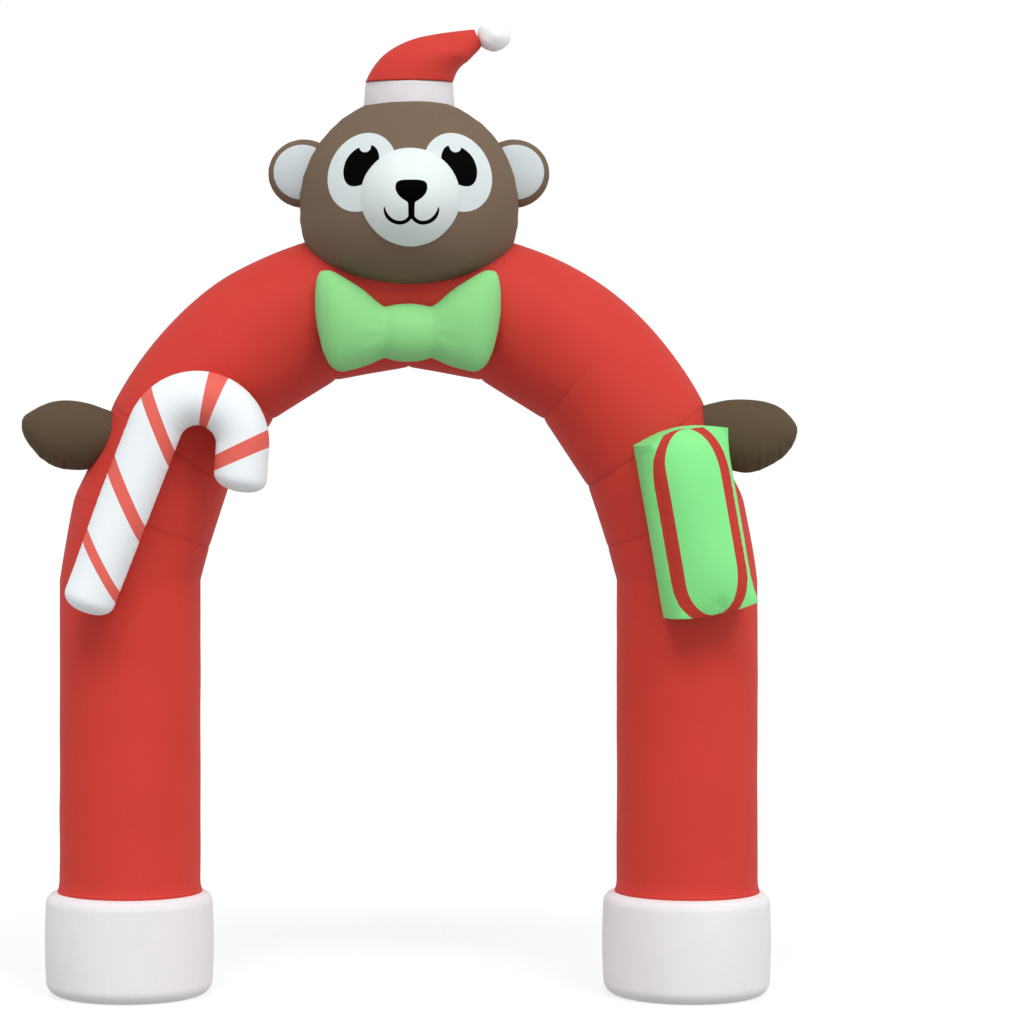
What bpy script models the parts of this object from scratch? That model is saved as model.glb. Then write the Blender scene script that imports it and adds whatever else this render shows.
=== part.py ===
"""Festive inflatable arch, in metres, +Z up, with the floor at Z = 0 and the front towards -Y.

A red air-filled tube bends over a gateway and stands on two drum feet. An animal's head with a
stocking cap sits on the crown, a bow tie under its chin, a hand at each shoulder, and a candy
cane and a gift box hang on the front. Every piece is drawn as a filled form: the fabric's outer
face, with its crown, its drawn-in ends and the folds on the inside of the bend.
"""

import math
from collections import namedtuple

import bmesh
import bpy

# ---- The shared frame ----
# Depths below are measured forwards from the plane that holds the tube's centre line.
# The front reaches to the muzzle and the back to the head, and the origin lies midway.
FRONT_REACH = 0.490
HEAD_FORWARD, HEAD_HALF_DEPTH = 0.055, 0.355
ARCH_Y = (FRONT_REACH - (HEAD_HALF_DEPTH - HEAD_FORWARD)) / 2
GAP = 0.0003

# ---- Feet ----
LEG_X = 0.9655
FOOT_RADIUS = 0.292
FOOT_HEIGHT = 0.354
FOOT_TOP_ROUND = 0.038
FOOT_BASE_ROUND = 0.050
FOOT_BULGE = 0.004
FOOT_STEPS = 36

# ---- Red tube ----
ARCH_CENTRE_Z = 1.433
TUBE_HALF_DEPTH = 0.2435
TUBE_SIDES = 28
HEM_FLARE = 0.007
HEM_HEIGHT = 0.030
SEAM_DRAW_IN = 0.006
SEAM_WIDTH = 0.018
PANEL_DEGREES, STEPS_PER_PANEL = 20, 4

# The tube's radii at each cross seam, by its angle from the vertical, and its outer radius halfway
# to the next seam. On the inside of the bend the cloth runs straight from seam to seam, and a seam
# that leans has its inner end that many degrees further down than its outer end.
Seam = namedtuple("Seam", "degrees lean inner outer outer_halfway")
SEAMS = (
    Seam(0, 0.0, 0.738, 1.216, 1.222),
    Seam(20, 0.0, 0.738, 1.224, 1.225),
    Seam(40, 0.0, 0.729, 1.217, 1.204),
    Seam(60, 2.5, 0.703, 1.191, 1.172),
    Seam(78, 2.5, 0.701, 1.194, 1.197),
    Seam(90, 0.0, 0.722, 1.209, 1.209),
)

# ---- Head ----
HEAD_Z = 2.729
HEAD_HALF_WIDTH = 0.374
HEAD_UP, HEAD_DOWN = 0.373, 0.302
HEAD_POWER_UP, HEAD_POWER_DOWN = 1.95, 2.6
MUZZLE_X, MUZZLE_Z = 0.005, 2.733
MUZZLE_RADIUS = 0.166
MUZZLE_HALF_DEPTH = 0.130
EAR_X, EAR_Z, EAR_FORWARD = 0.362, 2.840, 0.055
EAR_RADIUS, EAR_HALF_DEPTH = 0.1208, 0.052

# ---- Cap ----
BAND_X = 0.004
BAND_BOTTOM_Z, BAND_TOP_Z = 2.980, 3.153
BAND_RADIUS, BAND_TOP_RADIUS = 0.156, 0.151
BAND_EDGE, BAND_BULGE = 0.006, 0.003
CAP_SIDES = 24
POMPOM_X, POMPOM_Z, POMPOM_RADIUS = 0.293, 3.308, 0.057

# Sections of the cap's cone, from the band to its drooping tip: the ends of each one's diameter.
CapSection = namedtuple("CapSection", "left_x left_z right_x right_z")
CAP_SECTIONS = (
    CapSection(-0.147, 3.1533, 0.155, 3.1533),
    CapSection(-0.124, 3.198, 0.169, 3.189),
    CapSection(-0.093, 3.237, 0.186, 3.211),
    CapSection(-0.041, 3.275, 0.205, 3.229),
    CapSection(0.019, 3.301, 0.217, 3.241),
    CapSection(0.093, 3.318, 0.231, 3.251),
    CapSection(0.162, 3.328, 0.243, 3.263),
    CapSection(0.228, 3.335, 0.252, 3.275),
)

# ---- Bow tie ----
PILLOW_SIDES = 24
BOW_Z = 2.2855
BOW_FORWARD = 0.265

# Sections of half the bow, from the middle of its knot to a wing's side edge.
BowSection = namedtuple("BowSection", "x bottom top half_depth")
BOW_SECTIONS = (
    BowSection(0.000, -0.100, 0.097, 0.076),
    BowSection(0.041, -0.097, 0.094, 0.073),
    BowSection(0.081, -0.089, 0.089, 0.063),
    BowSection(0.101, -0.096, 0.101, 0.066),
    BowSection(0.115, -0.103, 0.113, 0.070),
    BowSection(0.152, -0.117, 0.144, 0.079),
    BowSection(0.193, -0.128, 0.171, 0.084),
    BowSection(0.230, -0.133, 0.193, 0.080),
    BowSection(0.257, -0.128, 0.207, 0.069),
    BowSection(0.284, -0.093, 0.209, 0.048),
    BowSection(0.299, -0.052, 0.203, 0.033),
    BowSection(0.309, 0.006, 0.179, 0.018),
    BowSection(0.315, 0.068, 0.135, 0.006),
)

# ---- Hands ----
HAND_TIP_X, HAND_Z, HAND_FORWARD = 1.333, 1.9315, 0.058

# Sections of a hand, from its tip inwards to the end that the tube hides.
HandSection = namedtuple("HandSection", "reach bottom top half_depth")
HAND_SECTIONS = (
    HandSection(0.000, 0.021, 0.051, 0.006),
    HandSection(0.003, 0.012, 0.060, 0.016),
    HandSection(0.010, -0.006, 0.071, 0.030),
    HandSection(0.028, -0.033, 0.084, 0.048),
    HandSection(0.071, -0.079, 0.107, 0.070),
    HandSection(0.121, -0.108, 0.121, 0.082),
    HandSection(0.172, -0.117, 0.124, 0.086),
    HandSection(0.227, -0.115, 0.114, 0.086),
    HandSection(0.270, -0.103, 0.100, 0.082),
    HandSection(0.310, -0.086, 0.086, 0.076),
    HandSection(0.358, -0.055, 0.065, 0.060),
    HandSection(0.392, -0.028, 0.041, 0.045),
)

# ---- Candy cane ----
CANE_RADIUS = 0.092
CANE_FORWARD = 0.320
HOOK_X, HOOK_Z, HOOK_RADIUS = -0.712, 1.910, 0.152
CANE_LEAN_DEGREES = 21.3
HOOK_OVERRUN_DEGREES = 10.0
SHAFT_LENGTH, HOOK_TAIL = 0.614, 0.082
CANE_CAP_DEPTH, CANE_CAP_POWER = 0.056, 2.5
HOOK_STEPS = 14
CANE_CAP_STEPS = (0.45, 0.75, 0.93, 0.995)
CANE_BEVEL_STEPS = 8

# ---- Gift box ----
GIFT_X, GIFT_Z, GIFT_BACK = 0.9745, 1.643, 0.200
GIFT_HALF_WIDTH, GIFT_HALF_HEIGHT, GIFT_HALF_DEPTH = 0.144, 0.298, 0.090
GIFT_TILT_DEGREES, GIFT_TURN_DEGREES = 10.2, 9.0
GIFT_FRONT_BULGE, GIFT_END_BULGE, GIFT_SIDE_BULGE = 0.046, 0.030, 0.006
GIFT_EDGE_DRAW_IN = 0.002
GIFT_ROUNDING = 0.160
GIFT_CUTS = 7

# ---- Fabrics: sRGB colour and roughness ----
Fabric = namedtuple("Fabric", "name red green blue roughness")
RED = Fabric("red_polyester", 0.80, 0.27, 0.23, 0.62)
WHITE = Fabric("white_polyester", 0.92, 0.92, 0.93, 0.65)
BROWN = Fabric("brown_polyester", 0.50, 0.43, 0.36, 0.65)
DARK_BROWN = Fabric("dark_brown_polyester", 0.35, 0.29, 0.23, 0.65)
GREEN = Fabric("green_polyester", 0.56, 0.88, 0.56, 0.62)


def clear_scene():
    """Remove whatever the scene holds and return fresh collections for parts and cutters."""
    for obj in list(bpy.data.objects):
        bpy.data.objects.remove(obj, do_unlink=True)
    collections = []
    for name in ("inflatable_arch", "cutters"):
        collection = bpy.data.collections.new(name)
        bpy.context.scene.collection.children.link(collection)
        collections.append(collection)
    return collections


def linear(channel):
    """One sRGB channel as a linear value."""
    return channel / 12.92 if channel <= 0.04045 else ((channel + 0.055) / 1.055) ** 2.4


def dress(obj, fabric):
    """Give a part its own cloth material."""
    material = bpy.data.materials.new(f"{fabric.name}_{obj.name}")
    material.use_nodes = True
    shader = material.node_tree.nodes["Principled BSDF"]
    colour = [linear(channel) for channel in (fabric.red, fabric.green, fabric.blue)]
    shader.inputs["Base Color"].default_value = (*colour, 1.0)
    shader.inputs["Roughness"].default_value = fabric.roughness
    shader.inputs["Metallic"].default_value = 0.0
    obj.data.materials.clear()
    obj.data.materials.append(material)


def add_part(obj, fabric):
    """Put a finished part in the object's collection, smooth and in its cloth."""
    PARTS.objects.link(obj)
    dress(obj, fabric)
    return obj


def add_cutter(obj):
    """Put a helper solid among the cutters, out of the render."""
    CUTTERS.objects.link(obj)
    obj.hide_render = True
    obj.display_type = "WIRE"
    return obj


def cut(obj, cutter):
    """Take a neighbour's slightly enlarged form away from a part."""
    modifier = obj.modifiers.new(f"cut_by_{cutter.name}", "BOOLEAN")
    modifier.operation = "DIFFERENCE"
    modifier.solver = "EXACT"
    modifier.object = cutter


def object_from_bmesh(name, bm):
    """Turn a bmesh into an object with smooth faces that point outwards."""
    bmesh.ops.recalc_face_normals(bm, faces=bm.faces)
    mesh = bpy.data.meshes.new(name)
    bm.to_mesh(mesh)
    bm.free()
    mesh.shade_smooth()
    return bpy.data.objects.new(name, mesh)


def loft(name, rings):
    """Join closed rings of equal count, in order, and close both ends with a flat face.

    Every side face is split along the same diagonal, so a cutter lies evenly over its part.
    """
    bm = bmesh.new()
    rows = [[bm.verts.new(point) for point in ring] for ring in rings]
    for near, far in zip(rows, rows[1:]):
        for index in range(len(near)):
            after = (index + 1) % len(near)
            bm.faces.new((near[index], near[after], far[after]))
            bm.faces.new((near[index], far[after], far[index]))
    bm.faces.new(rows[0])
    bm.faces.new(rows[-1])
    return object_from_bmesh(name, bm)


def turned(name, profile, steps):
    """Turn a profile of (radius, height), listed from the top down, about the Z axis."""
    mesh = bpy.data.meshes.new(name)
    points = [(radius, 0.0, height) for radius, height in profile]
    edges = [(index, index + 1) for index in range(len(points) - 1)]
    mesh.from_pydata(points, edges, [])
    obj = bpy.data.objects.new(name, mesh)
    screw = obj.modifiers.new("turn", "SCREW")
    screw.axis = "Z"
    screw.angle = math.tau
    screw.steps = screw.render_steps = steps
    screw.use_merge_vertices = True
    screw.merge_threshold = 0.0001
    screw.use_smooth_shade = True
    return obj


def rounded_ball(name, half_width, half_depth, up, down, power_up, power_down, sides, rows):
    """A ball whose vertical outline is a superellipse, with its own power above and below."""
    bm = bmesh.new()
    bmesh.ops.create_uvsphere(bm, u_segments=sides, v_segments=rows, radius=1.0)
    for vert in bm.verts:
        x, y, z = vert.co
        spread = math.hypot(x, y)
        power, reach = (power_up, up) if z >= 0 else (power_down, -down)
        flare = spread ** (2 / power) / spread if spread > 1e-6 else 0.0
        vert.co = (x * flare * half_width, y * flare * half_depth, abs(z) ** (2 / power) * reach)
    return object_from_bmesh(name, bm)


def arc(centre, radius, start, end, count):
    """Points (radius, height) along an arc, its angles in degrees from the outward direction."""
    angles = [math.radians(start + (end - start) * step / count) for step in range(count + 1)]
    return [
        (centre[0] + radius * math.cos(angle), centre[1] + radius * math.sin(angle))
        for angle in angles
    ]


# ---- Feet ----
def foot_profile():
    """The drum from the middle of its top to the middle of its flat base."""
    side_top = FOOT_HEIGHT - FOOT_TOP_ROUND
    wall = FOOT_RADIUS - FOOT_BULGE
    top = arc((wall - FOOT_TOP_ROUND, side_top), FOOT_TOP_ROUND, 90, 0, 4)
    base = arc((wall - FOOT_BASE_ROUND, FOOT_BASE_ROUND), FOOT_BASE_ROUND, 0, -90, 4)
    side = [
        (wall + FOOT_BULGE * math.sin(math.pi * step / 4),
         side_top + (FOOT_BASE_ROUND - side_top) * step / 4)
        for step in (1, 2, 3)
    ]
    return [(0.0, FOOT_HEIGHT), *top, *side, *base, (0.0, 0.0)]


def make_feet():
    for side, word in ((-1, "left"), (1, "right")):
        foot = turned(f"foot_{word}", foot_profile(), FOOT_STEPS)
        foot.location = (side * LEG_X, ARCH_Y, 0.0)
        add_part(foot, WHITE)


# ---- Red tube ----
def arch_section(degrees):
    """The tube's inner radius, outer radius and lean at an angle from the vertical.

    The inner radius follows the straight line between two seams. The outer one is the parabola
    through both seams' values and the one halfway.
    """
    angle = abs(degrees)
    for near, far in zip(SEAMS, SEAMS[1:]):
        if angle <= far.degrees:
            break
    share = (angle - near.degrees) / (far.degrees - near.degrees)
    lean = near.lean + (far.lean - near.lean) * share
    panel = math.radians(far.degrees + far.lean - near.degrees - near.lean)
    inner = near.inner * far.inner * math.sin(panel) / (
        near.inner * math.sin(panel * share) + far.inner * math.sin(panel * (1 - share))
    )
    straight = near.outer + (far.outer - near.outer) * share
    rise = near.outer_halfway - (near.outer + far.outer) / 2
    return inner, straight + 4 * rise * share * (1 - share), lean


def tube_ring(degrees, below=0.0, grow=0.0):
    """The tube's section at an angle, or at a depth below the arch's centre on a leg.

    The section is a flat ellipse about the line from its inner to its outer end. It grows on all
    sides.
    """
    inner, outer, lean = arch_section(degrees)
    angle = math.radians(degrees)
    inner_angle = math.radians(degrees + math.copysign(lean, degrees))
    inner_x, inner_z = inner * math.sin(inner_angle), inner * math.cos(inner_angle)
    outer_x, outer_z = outer * math.sin(angle), outer * math.cos(angle)
    half_x, half_z = (outer_x - inner_x) / 2, (outer_z - inner_z) / 2
    size = 1 + grow / math.hypot(half_x, half_z)
    ring = []
    for step in range(TUBE_SIDES):
        turn = math.tau * step / TUBE_SIDES
        across = size * math.cos(turn)
        ring.append(((inner_x + outer_x) / 2 + half_x * across,
                     ARCH_Y - (TUBE_HALF_DEPTH + grow) * math.sin(turn),
                     ARCH_CENTRE_Z - below + (inner_z + outer_z) / 2 + half_z * across))
    return ring


def arch_stations(start, end):
    """Angles from one all-round seam to the next, each with the share of the full draw-in."""
    way = 1 if end > start else -1
    half_gap = way * math.degrees(GAP / 2 / SEAMS[-2].inner)
    tuck = way * math.degrees(SEAM_WIDTH / SEAMS[0].outer)
    count = round(abs(end - start) / PANEL_DEGREES) * STEPS_PER_PANEL
    between = [(start + (end - start) * step / count, 0.0) for step in range(1, count)]
    first = [(start + half_gap, 1.0), (start + tuck / 3, 1 / 3), (start + tuck, 0.0)]
    last = [(end - tuck, 0.0), (end - tuck / 3, 1 / 3), (end - half_gap, 1.0)]
    return first + between + last


def leg_stations():
    """Stations of a leg, from the hem on the foot up to the lowest cross seam of the arch.

    Each is an angle, a depth below the arch's centre, and the growth at the hem or seam.
    """
    seam, level = SEAMS[-2].degrees, SEAMS[-1].degrees
    half_gap = math.degrees(GAP / 2 / SEAMS[-2].inner)
    tuck = math.degrees(SEAM_WIDTH / SEAMS[0].outer)
    hem = ARCH_CENTRE_Z - FOOT_HEIGHT - GAP
    return [
        (level, hem, HEM_FLARE),
        (level, hem - HEM_HEIGHT / 3, HEM_FLARE / 3),
        (level, hem - HEM_HEIGHT, 0.0),
        (level, hem / 2, 0.0),
        (level, 0.0, 0.0),
        ((seam + level) / 2, 0.0, 0.0),
        (seam + tuck, 0.0, 0.0),
        (seam + tuck / 3, 0.0, -SEAM_DRAW_IN / 3),
        (seam + half_gap, 0.0, -SEAM_DRAW_IN),
    ]


def make_tube():
    shoulder_seam, leg_seam = SEAMS[-3].degrees, SEAMS[-2].degrees
    for side, word in ((-1, "left"), (1, "right")):
        leg = [tube_ring(side * angle, below, grow) for angle, below, grow in leg_stations()]
        add_part(loft(f"leg_{word}", leg), RED)
        shoulder = arch_stations(side * leg_seam, side * shoulder_seam)
        add_part(loft(f"shoulder_{word}", drawn_in_rings(shoulder)), RED)
    crown = arch_stations(-shoulder_seam, shoulder_seam)
    add_part(loft("crown", drawn_in_rings(crown)), RED)


def drawn_in_rings(stations):
    """The tube's rings at these stations, drawn in towards the seams."""
    return [tube_ring(angle, grow=-SEAM_DRAW_IN * share) for angle, share in stations]


def make_tube_cutter():
    """The whole tube from leg to leg, a gap larger than the red pieces and without their seams."""
    shoulder_seam, leg_seam = SEAMS[-3].degrees, SEAMS[-2].degrees
    legs = [(angle, below) for angle, below, _ in leg_stations()]
    arch = []
    for start, end in ((-leg_seam, -shoulder_seam), (-shoulder_seam, shoulder_seam),
                       (shoulder_seam, leg_seam)):
        arch += [(angle, 0.0) for angle, _ in arch_stations(start, end)]
    stations = [(-angle, below) for angle, below in legs] + arch + legs[::-1]
    rings = [tube_ring(angle, below, GAP) for angle, below in stations]
    return add_cutter(loft("tube_cutter", rings))


# ---- Head ----
def head_ball(name, grow=0.0):
    """The head's filled form, grown on all sides."""
    ball = rounded_ball(
        name, HEAD_HALF_WIDTH + grow, HEAD_HALF_DEPTH + grow, HEAD_UP + grow, HEAD_DOWN + grow,
        HEAD_POWER_UP, HEAD_POWER_DOWN, sides=36, rows=20,
    )
    ball.location = (0.0, ARCH_Y - HEAD_FORWARD, HEAD_Z)
    return ball


def make_head(tube_cutter):
    head = add_part(head_ball("head"), BROWN)
    cut(head, tube_cutter)
    head_cutter = add_cutter(head_ball("head_cutter", GAP))

    muzzle = rounded_ball("muzzle", MUZZLE_RADIUS, MUZZLE_HALF_DEPTH, MUZZLE_RADIUS,
                          MUZZLE_RADIUS, 2.0, 2.0, sides=26, rows=16)
    muzzle.location = (MUZZLE_X, ARCH_Y - FRONT_REACH + MUZZLE_HALF_DEPTH, MUZZLE_Z)
    add_part(muzzle, WHITE)
    cut(muzzle, head_cutter)

    for side, word in ((-1, "left"), (1, "right")):
        ear = rounded_ball(f"ear_{word}", EAR_RADIUS, EAR_RADIUS, EAR_HALF_DEPTH,
                           EAR_HALF_DEPTH, 2.0, 2.0, sides=26, rows=12)
        ear.location = (side * EAR_X, ARCH_Y - EAR_FORWARD, EAR_Z)
        ear.rotation_euler.x = math.radians(90)
        add_part(ear, BROWN)
        cut(ear, head_cutter)
    return head_cutter


# ---- Cap ----
def cap_ring(section, grow=0.0):
    """A round section of the cap's cone, from the two ends of its diameter."""
    middle_x = (section.left_x + section.right_x) / 2
    middle_z = (section.left_z + section.right_z) / 2
    half_x = (section.right_x - section.left_x) / 2
    half_z = (section.right_z - section.left_z) / 2
    radius = math.hypot(half_x, half_z)
    size = 1 + grow / radius
    ring = []
    for step in range(CAP_SIDES):
        turn = math.tau * step / CAP_SIDES
        ring.append((middle_x + half_x * size * math.cos(turn),
                     ARCH_Y - HEAD_FORWARD + radius * size * math.sin(turn),
                     middle_z + half_z * size * math.cos(turn)))
    return ring


def make_cap(head_cutter):
    band_side = BAND_TOP_Z - BAND_EDGE - BAND_BOTTOM_Z
    profile = [(0.0, BAND_TOP_Z), (BAND_TOP_RADIUS - BAND_EDGE, BAND_TOP_Z)]
    for share in (0, 1 / 3, 2 / 3, 1):
        radius = BAND_TOP_RADIUS + (BAND_RADIUS - BAND_TOP_RADIUS) * share
        radius += BAND_BULGE * math.sin(math.pi * share)
        profile.append((radius, BAND_TOP_Z - BAND_EDGE - band_side * share))
    profile.append((0.0, BAND_BOTTOM_Z))
    band = turned("cap_band", profile, 32)
    band.location = (BAND_X, ARCH_Y - HEAD_FORWARD, 0.0)
    add_part(band, WHITE)
    cut(band, head_cutter)

    add_part(loft("cap_cone", [cap_ring(section) for section in CAP_SECTIONS]), RED)

    tip, before = CAP_SECTIONS[-1], CAP_SECTIONS[-2]
    beyond = CapSection(*(2 * here - there for here, there in zip(tip, before)))
    reach = GAP / math.hypot(beyond.left_x - tip.left_x, beyond.left_z - tip.left_z)
    end = CapSection(*(here + (there - here) * reach for here, there in zip(tip, beyond)))
    rings = [cap_ring(section, GAP) for section in (*CAP_SECTIONS[-3:], end)]
    cone_cutter = add_cutter(loft("cone_cutter", rings))
    pompom = rounded_ball("pompom", POMPOM_RADIUS, POMPOM_RADIUS, POMPOM_RADIUS,
                          POMPOM_RADIUS, 2.0, 2.0, sides=22, rows=12)
    pompom.location = (POMPOM_X, ARCH_Y - HEAD_FORWARD, POMPOM_Z)
    add_part(pompom, WHITE)
    cut(pompom, cone_cutter)


# ---- Bow tie and hands ----
def upright_ring(x, y, z, section):
    """An elliptical section across X, from a section's bottom to its top and as deep."""
    middle, half = (section.top + section.bottom) / 2, (section.top - section.bottom) / 2
    return [
        (x, y + section.half_depth * math.cos(math.tau * step / PILLOW_SIDES),
         z + middle + half * math.sin(math.tau * step / PILLOW_SIDES))
        for step in range(PILLOW_SIDES)
    ]


def make_bow_tie(tube_cutter):
    y = ARCH_Y - BOW_FORWARD
    right = [upright_ring(section.x, y, BOW_Z, section) for section in BOW_SECTIONS]
    left = [upright_ring(-section.x, y, BOW_Z, section) for section in BOW_SECTIONS[:0:-1]]
    bow_tie = add_part(loft("bow_tie", left + right), GREEN)
    cut(bow_tie, tube_cutter)


def make_hands(tube_cutter):
    for side, word in ((-1, "left"), (1, "right")):
        rings = [
            upright_ring(side * (HAND_TIP_X - section.reach), ARCH_Y - HAND_FORWARD, HAND_Z,
                         section)
            for section in HAND_SECTIONS
        ]
        hand = add_part(loft(f"hand_{word}", rings), DARK_BROWN)
        cut(hand, tube_cutter)


# ---- Candy cane ----
def cane_route():
    """Points (x, z, share of the full radius) from the shaft's foot to the hook's end."""
    lean = math.radians(CANE_LEAN_DEGREES)
    first, last = 180 - CANE_LEAN_DEGREES, -HOOK_OVERRUN_DEGREES
    hook = []
    for step in range(HOOK_STEPS + 1):
        angle = math.radians(first + (last - first) * step / HOOK_STEPS)
        hook.append((HOOK_X + HOOK_RADIUS * math.cos(angle),
                     HOOK_Z + HOOK_RADIUS * math.sin(angle), 1.0))
    down_shaft = (-math.sin(lean), -math.cos(lean))
    over = math.radians(HOOK_OVERRUN_DEGREES)
    down_tail = (-math.sin(over), -math.cos(over))
    foot = run_out(hook[0], down_shaft, SHAFT_LENGTH)
    tail = run_out(hook[-1], down_tail, HOOK_TAIL)
    return foot[::-1] + hook + tail


def run_out(start, direction, length):
    """A straight stretch of the cane and the rounded cap that closes it."""
    points = []
    for share in (0.0, *CANE_CAP_STEPS):
        distance = length + CANE_CAP_DEPTH * share
        points.append((start[0] + direction[0] * distance, start[1] + direction[1] * distance,
                       (1 - share ** CANE_CAP_POWER) ** (1 / CANE_CAP_POWER)))
    return points


def make_candy_cane(tube_cutter):
    curve = bpy.data.curves.new("candy_cane_route", "CURVE")
    curve.dimensions = "3D"
    curve.bevel_depth = CANE_RADIUS
    curve.bevel_resolution = CANE_BEVEL_STEPS
    curve.use_fill_caps = True
    route = cane_route()
    spline = curve.splines.new("POLY")
    spline.points.add(len(route) - 1)
    for point, (x, z, share) in zip(spline.points, route):
        point.co = (x, ARCH_Y - CANE_FORWARD, z, 1.0)
        point.radius = share
    tube = bpy.data.objects.new("candy_cane_route", curve)
    CUTTERS.objects.link(tube)
    bpy.context.view_layer.update()
    graph = bpy.context.evaluated_depsgraph_get()
    mesh = bpy.data.meshes.new_from_object(tube.evaluated_get(graph))
    bm = bmesh.new()
    bm.from_mesh(mesh)
    bmesh.ops.remove_doubles(bm, verts=bm.verts, dist=0.00001)
    bpy.data.objects.remove(tube, do_unlink=True)
    bpy.data.curves.remove(curve)
    bpy.data.meshes.remove(mesh)
    cane = add_part(object_from_bmesh("candy_cane", bm), WHITE)
    cut(cane, tube_cutter)


# ---- Gift box ----
def make_gift_box(tube_cutter):
    """A box with a crowned front and ends, rounded upright edges and corners that stay sharp.

    Over the unit box, the front bulges as (1 - x*x)(1 - z^4), each end as (1 - x*x)(1 - 0.15 y*y)
    and each side as (1 - y*y)(1 - z*z). A front upright edge is drawn in towards the middle by the
    rounding times x*x y*y (1 - z^4), so it is sharp at its two corners alone.
    """
    bm = bmesh.new()
    bmesh.ops.create_cube(bm, size=2.0)
    bmesh.ops.subdivide_edges(bm, edges=bm.edges, cuts=GIFT_CUTS, use_grid_fill=True)
    half = (GIFT_HALF_WIDTH, GIFT_HALF_DEPTH, GIFT_HALF_HEIGHT)
    for vert in bm.verts:
        unit = tuple(vert.co)
        x, y, z = (share * share for share in unit)
        in_front = 1.0 if unit[1] < 0 else 0.0
        swell = (
            GIFT_SIDE_BULGE * (1 - y) * (1 - z),
            GIFT_FRONT_BULGE * (1 - x) * (1 - z * z) * in_front,
            GIFT_END_BULGE * (1 - x) * (1 - 0.15 * y),
        )
        rounding = 1 - GIFT_ROUNDING * x * y * (1 - z * z) * in_front
        place = []
        for axis, scale in ((0, rounding), (1, rounding), (2, 1.0)):
            first, second = unit[(axis + 1) % 3] ** 2, unit[(axis + 2) % 3] ** 2
            tuck = GIFT_EDGE_DRAW_IN * (first * (1 - second) + second * (1 - first))
            place.append(unit[axis] * (half[axis] + swell[axis] - tuck) * scale)
        vert.co = place
    gift = object_from_bmesh("gift_box", bm)
    gift.location = (GIFT_X, ARCH_Y - GIFT_BACK - GIFT_HALF_DEPTH, GIFT_Z)
    gift.rotation_euler = (0.0, -math.radians(GIFT_TILT_DEGREES), math.radians(GIFT_TURN_DEGREES))
    add_part(gift, GREEN)
    cut(gift, tube_cutter)


PARTS, CUTTERS = clear_scene()
make_feet()
make_tube()
TUBE_CUTTER = make_tube_cutter()
HEAD_CUTTER = make_head(TUBE_CUTTER)
make_cap(HEAD_CUTTER)
make_bow_tie(TUBE_CUTTER)
make_hands(TUBE_CUTTER)
make_candy_cane(TUBE_CUTTER)
make_gift_box(TUBE_CUTTER)
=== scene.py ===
"""The festive inflatable arch as it looks: woven polyester, printed, sewn and filled with air.

Metres, +Z up, the floor at Z = 0 and the front towards -Y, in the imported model's frame. Every piece
is one closed skin, worked out on a grid, and fills the space of the solid that it stands for.
"""

import logging
import math
from collections.abc import Callable, Sequence
from dataclasses import dataclass, field
from enum import Enum

import bpy
import numpy as np
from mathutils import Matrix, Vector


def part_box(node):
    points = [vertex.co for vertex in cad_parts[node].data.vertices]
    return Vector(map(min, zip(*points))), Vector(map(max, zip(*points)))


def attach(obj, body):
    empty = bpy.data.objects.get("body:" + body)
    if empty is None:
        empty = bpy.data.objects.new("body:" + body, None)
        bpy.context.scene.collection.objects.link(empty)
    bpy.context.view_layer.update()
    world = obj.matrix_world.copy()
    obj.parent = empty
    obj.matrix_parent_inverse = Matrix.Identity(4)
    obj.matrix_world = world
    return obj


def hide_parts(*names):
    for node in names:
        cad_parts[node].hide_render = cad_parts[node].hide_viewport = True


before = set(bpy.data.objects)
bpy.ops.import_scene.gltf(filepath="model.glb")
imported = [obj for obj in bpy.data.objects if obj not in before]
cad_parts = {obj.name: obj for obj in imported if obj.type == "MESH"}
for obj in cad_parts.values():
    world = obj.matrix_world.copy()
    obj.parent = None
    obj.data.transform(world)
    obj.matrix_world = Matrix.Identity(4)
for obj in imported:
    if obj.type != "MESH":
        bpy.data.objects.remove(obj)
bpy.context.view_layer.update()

Array = np.ndarray
Point = tuple[float, float]
Point3 = tuple[float, float, float]
LOG = logging.getLogger("inflatable_arch")

# ---- The shared frame, the same as the solids' ----
FRONT_REACH = 0.490
HEAD_FORWARD, HEAD_HALF_DEPTH = 0.055, 0.355
ARCH_Y = (FRONT_REACH - (HEAD_HALF_DEPTH - HEAD_FORWARD)) / 2
GAP = 0.0003

SINK = 0.0025  # how far a piece's hidden side lies in the form that it is sewn onto
NO_SEAM = 1.0  # the seam distance of cloth that no seam is near
INNER_RING = 0.01  # the radius of the innermost ring on a drum's flat end
ON_SIDE = 0.9999  # above this share of a half size a place is on that side of its cube


class Side(Enum):
    """The viewer's left or right, as a sign along X."""

    LEFT = -1
    RIGHT = 1


class Slot(Enum):
    """The record's material slots."""

    RED = "red_cloth"
    WHITE = "white_cloth"
    BROWN = "brown_cloth"
    DARK_BROWN = "dark_brown_cloth"
    GREEN = "green_cloth"


# ---- Curves and ripples ----
def ease(low: float, high: float, values: Array) -> Array:
    """Rise smoothly from 0 at low to 1 at high: 3t^2 - 2t^3 of the share of the way.

    Args:
        low: Where the rise starts. It may lie above high, and then the rise runs downwards.
        high: Where it ends.
        values: What is looked up.

    Returns:
        The risen share of each value.
    """
    share = np.clip((values - low) / (high - low), 0.0, 1.0)
    return share * share * (3 - 2 * share)


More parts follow.
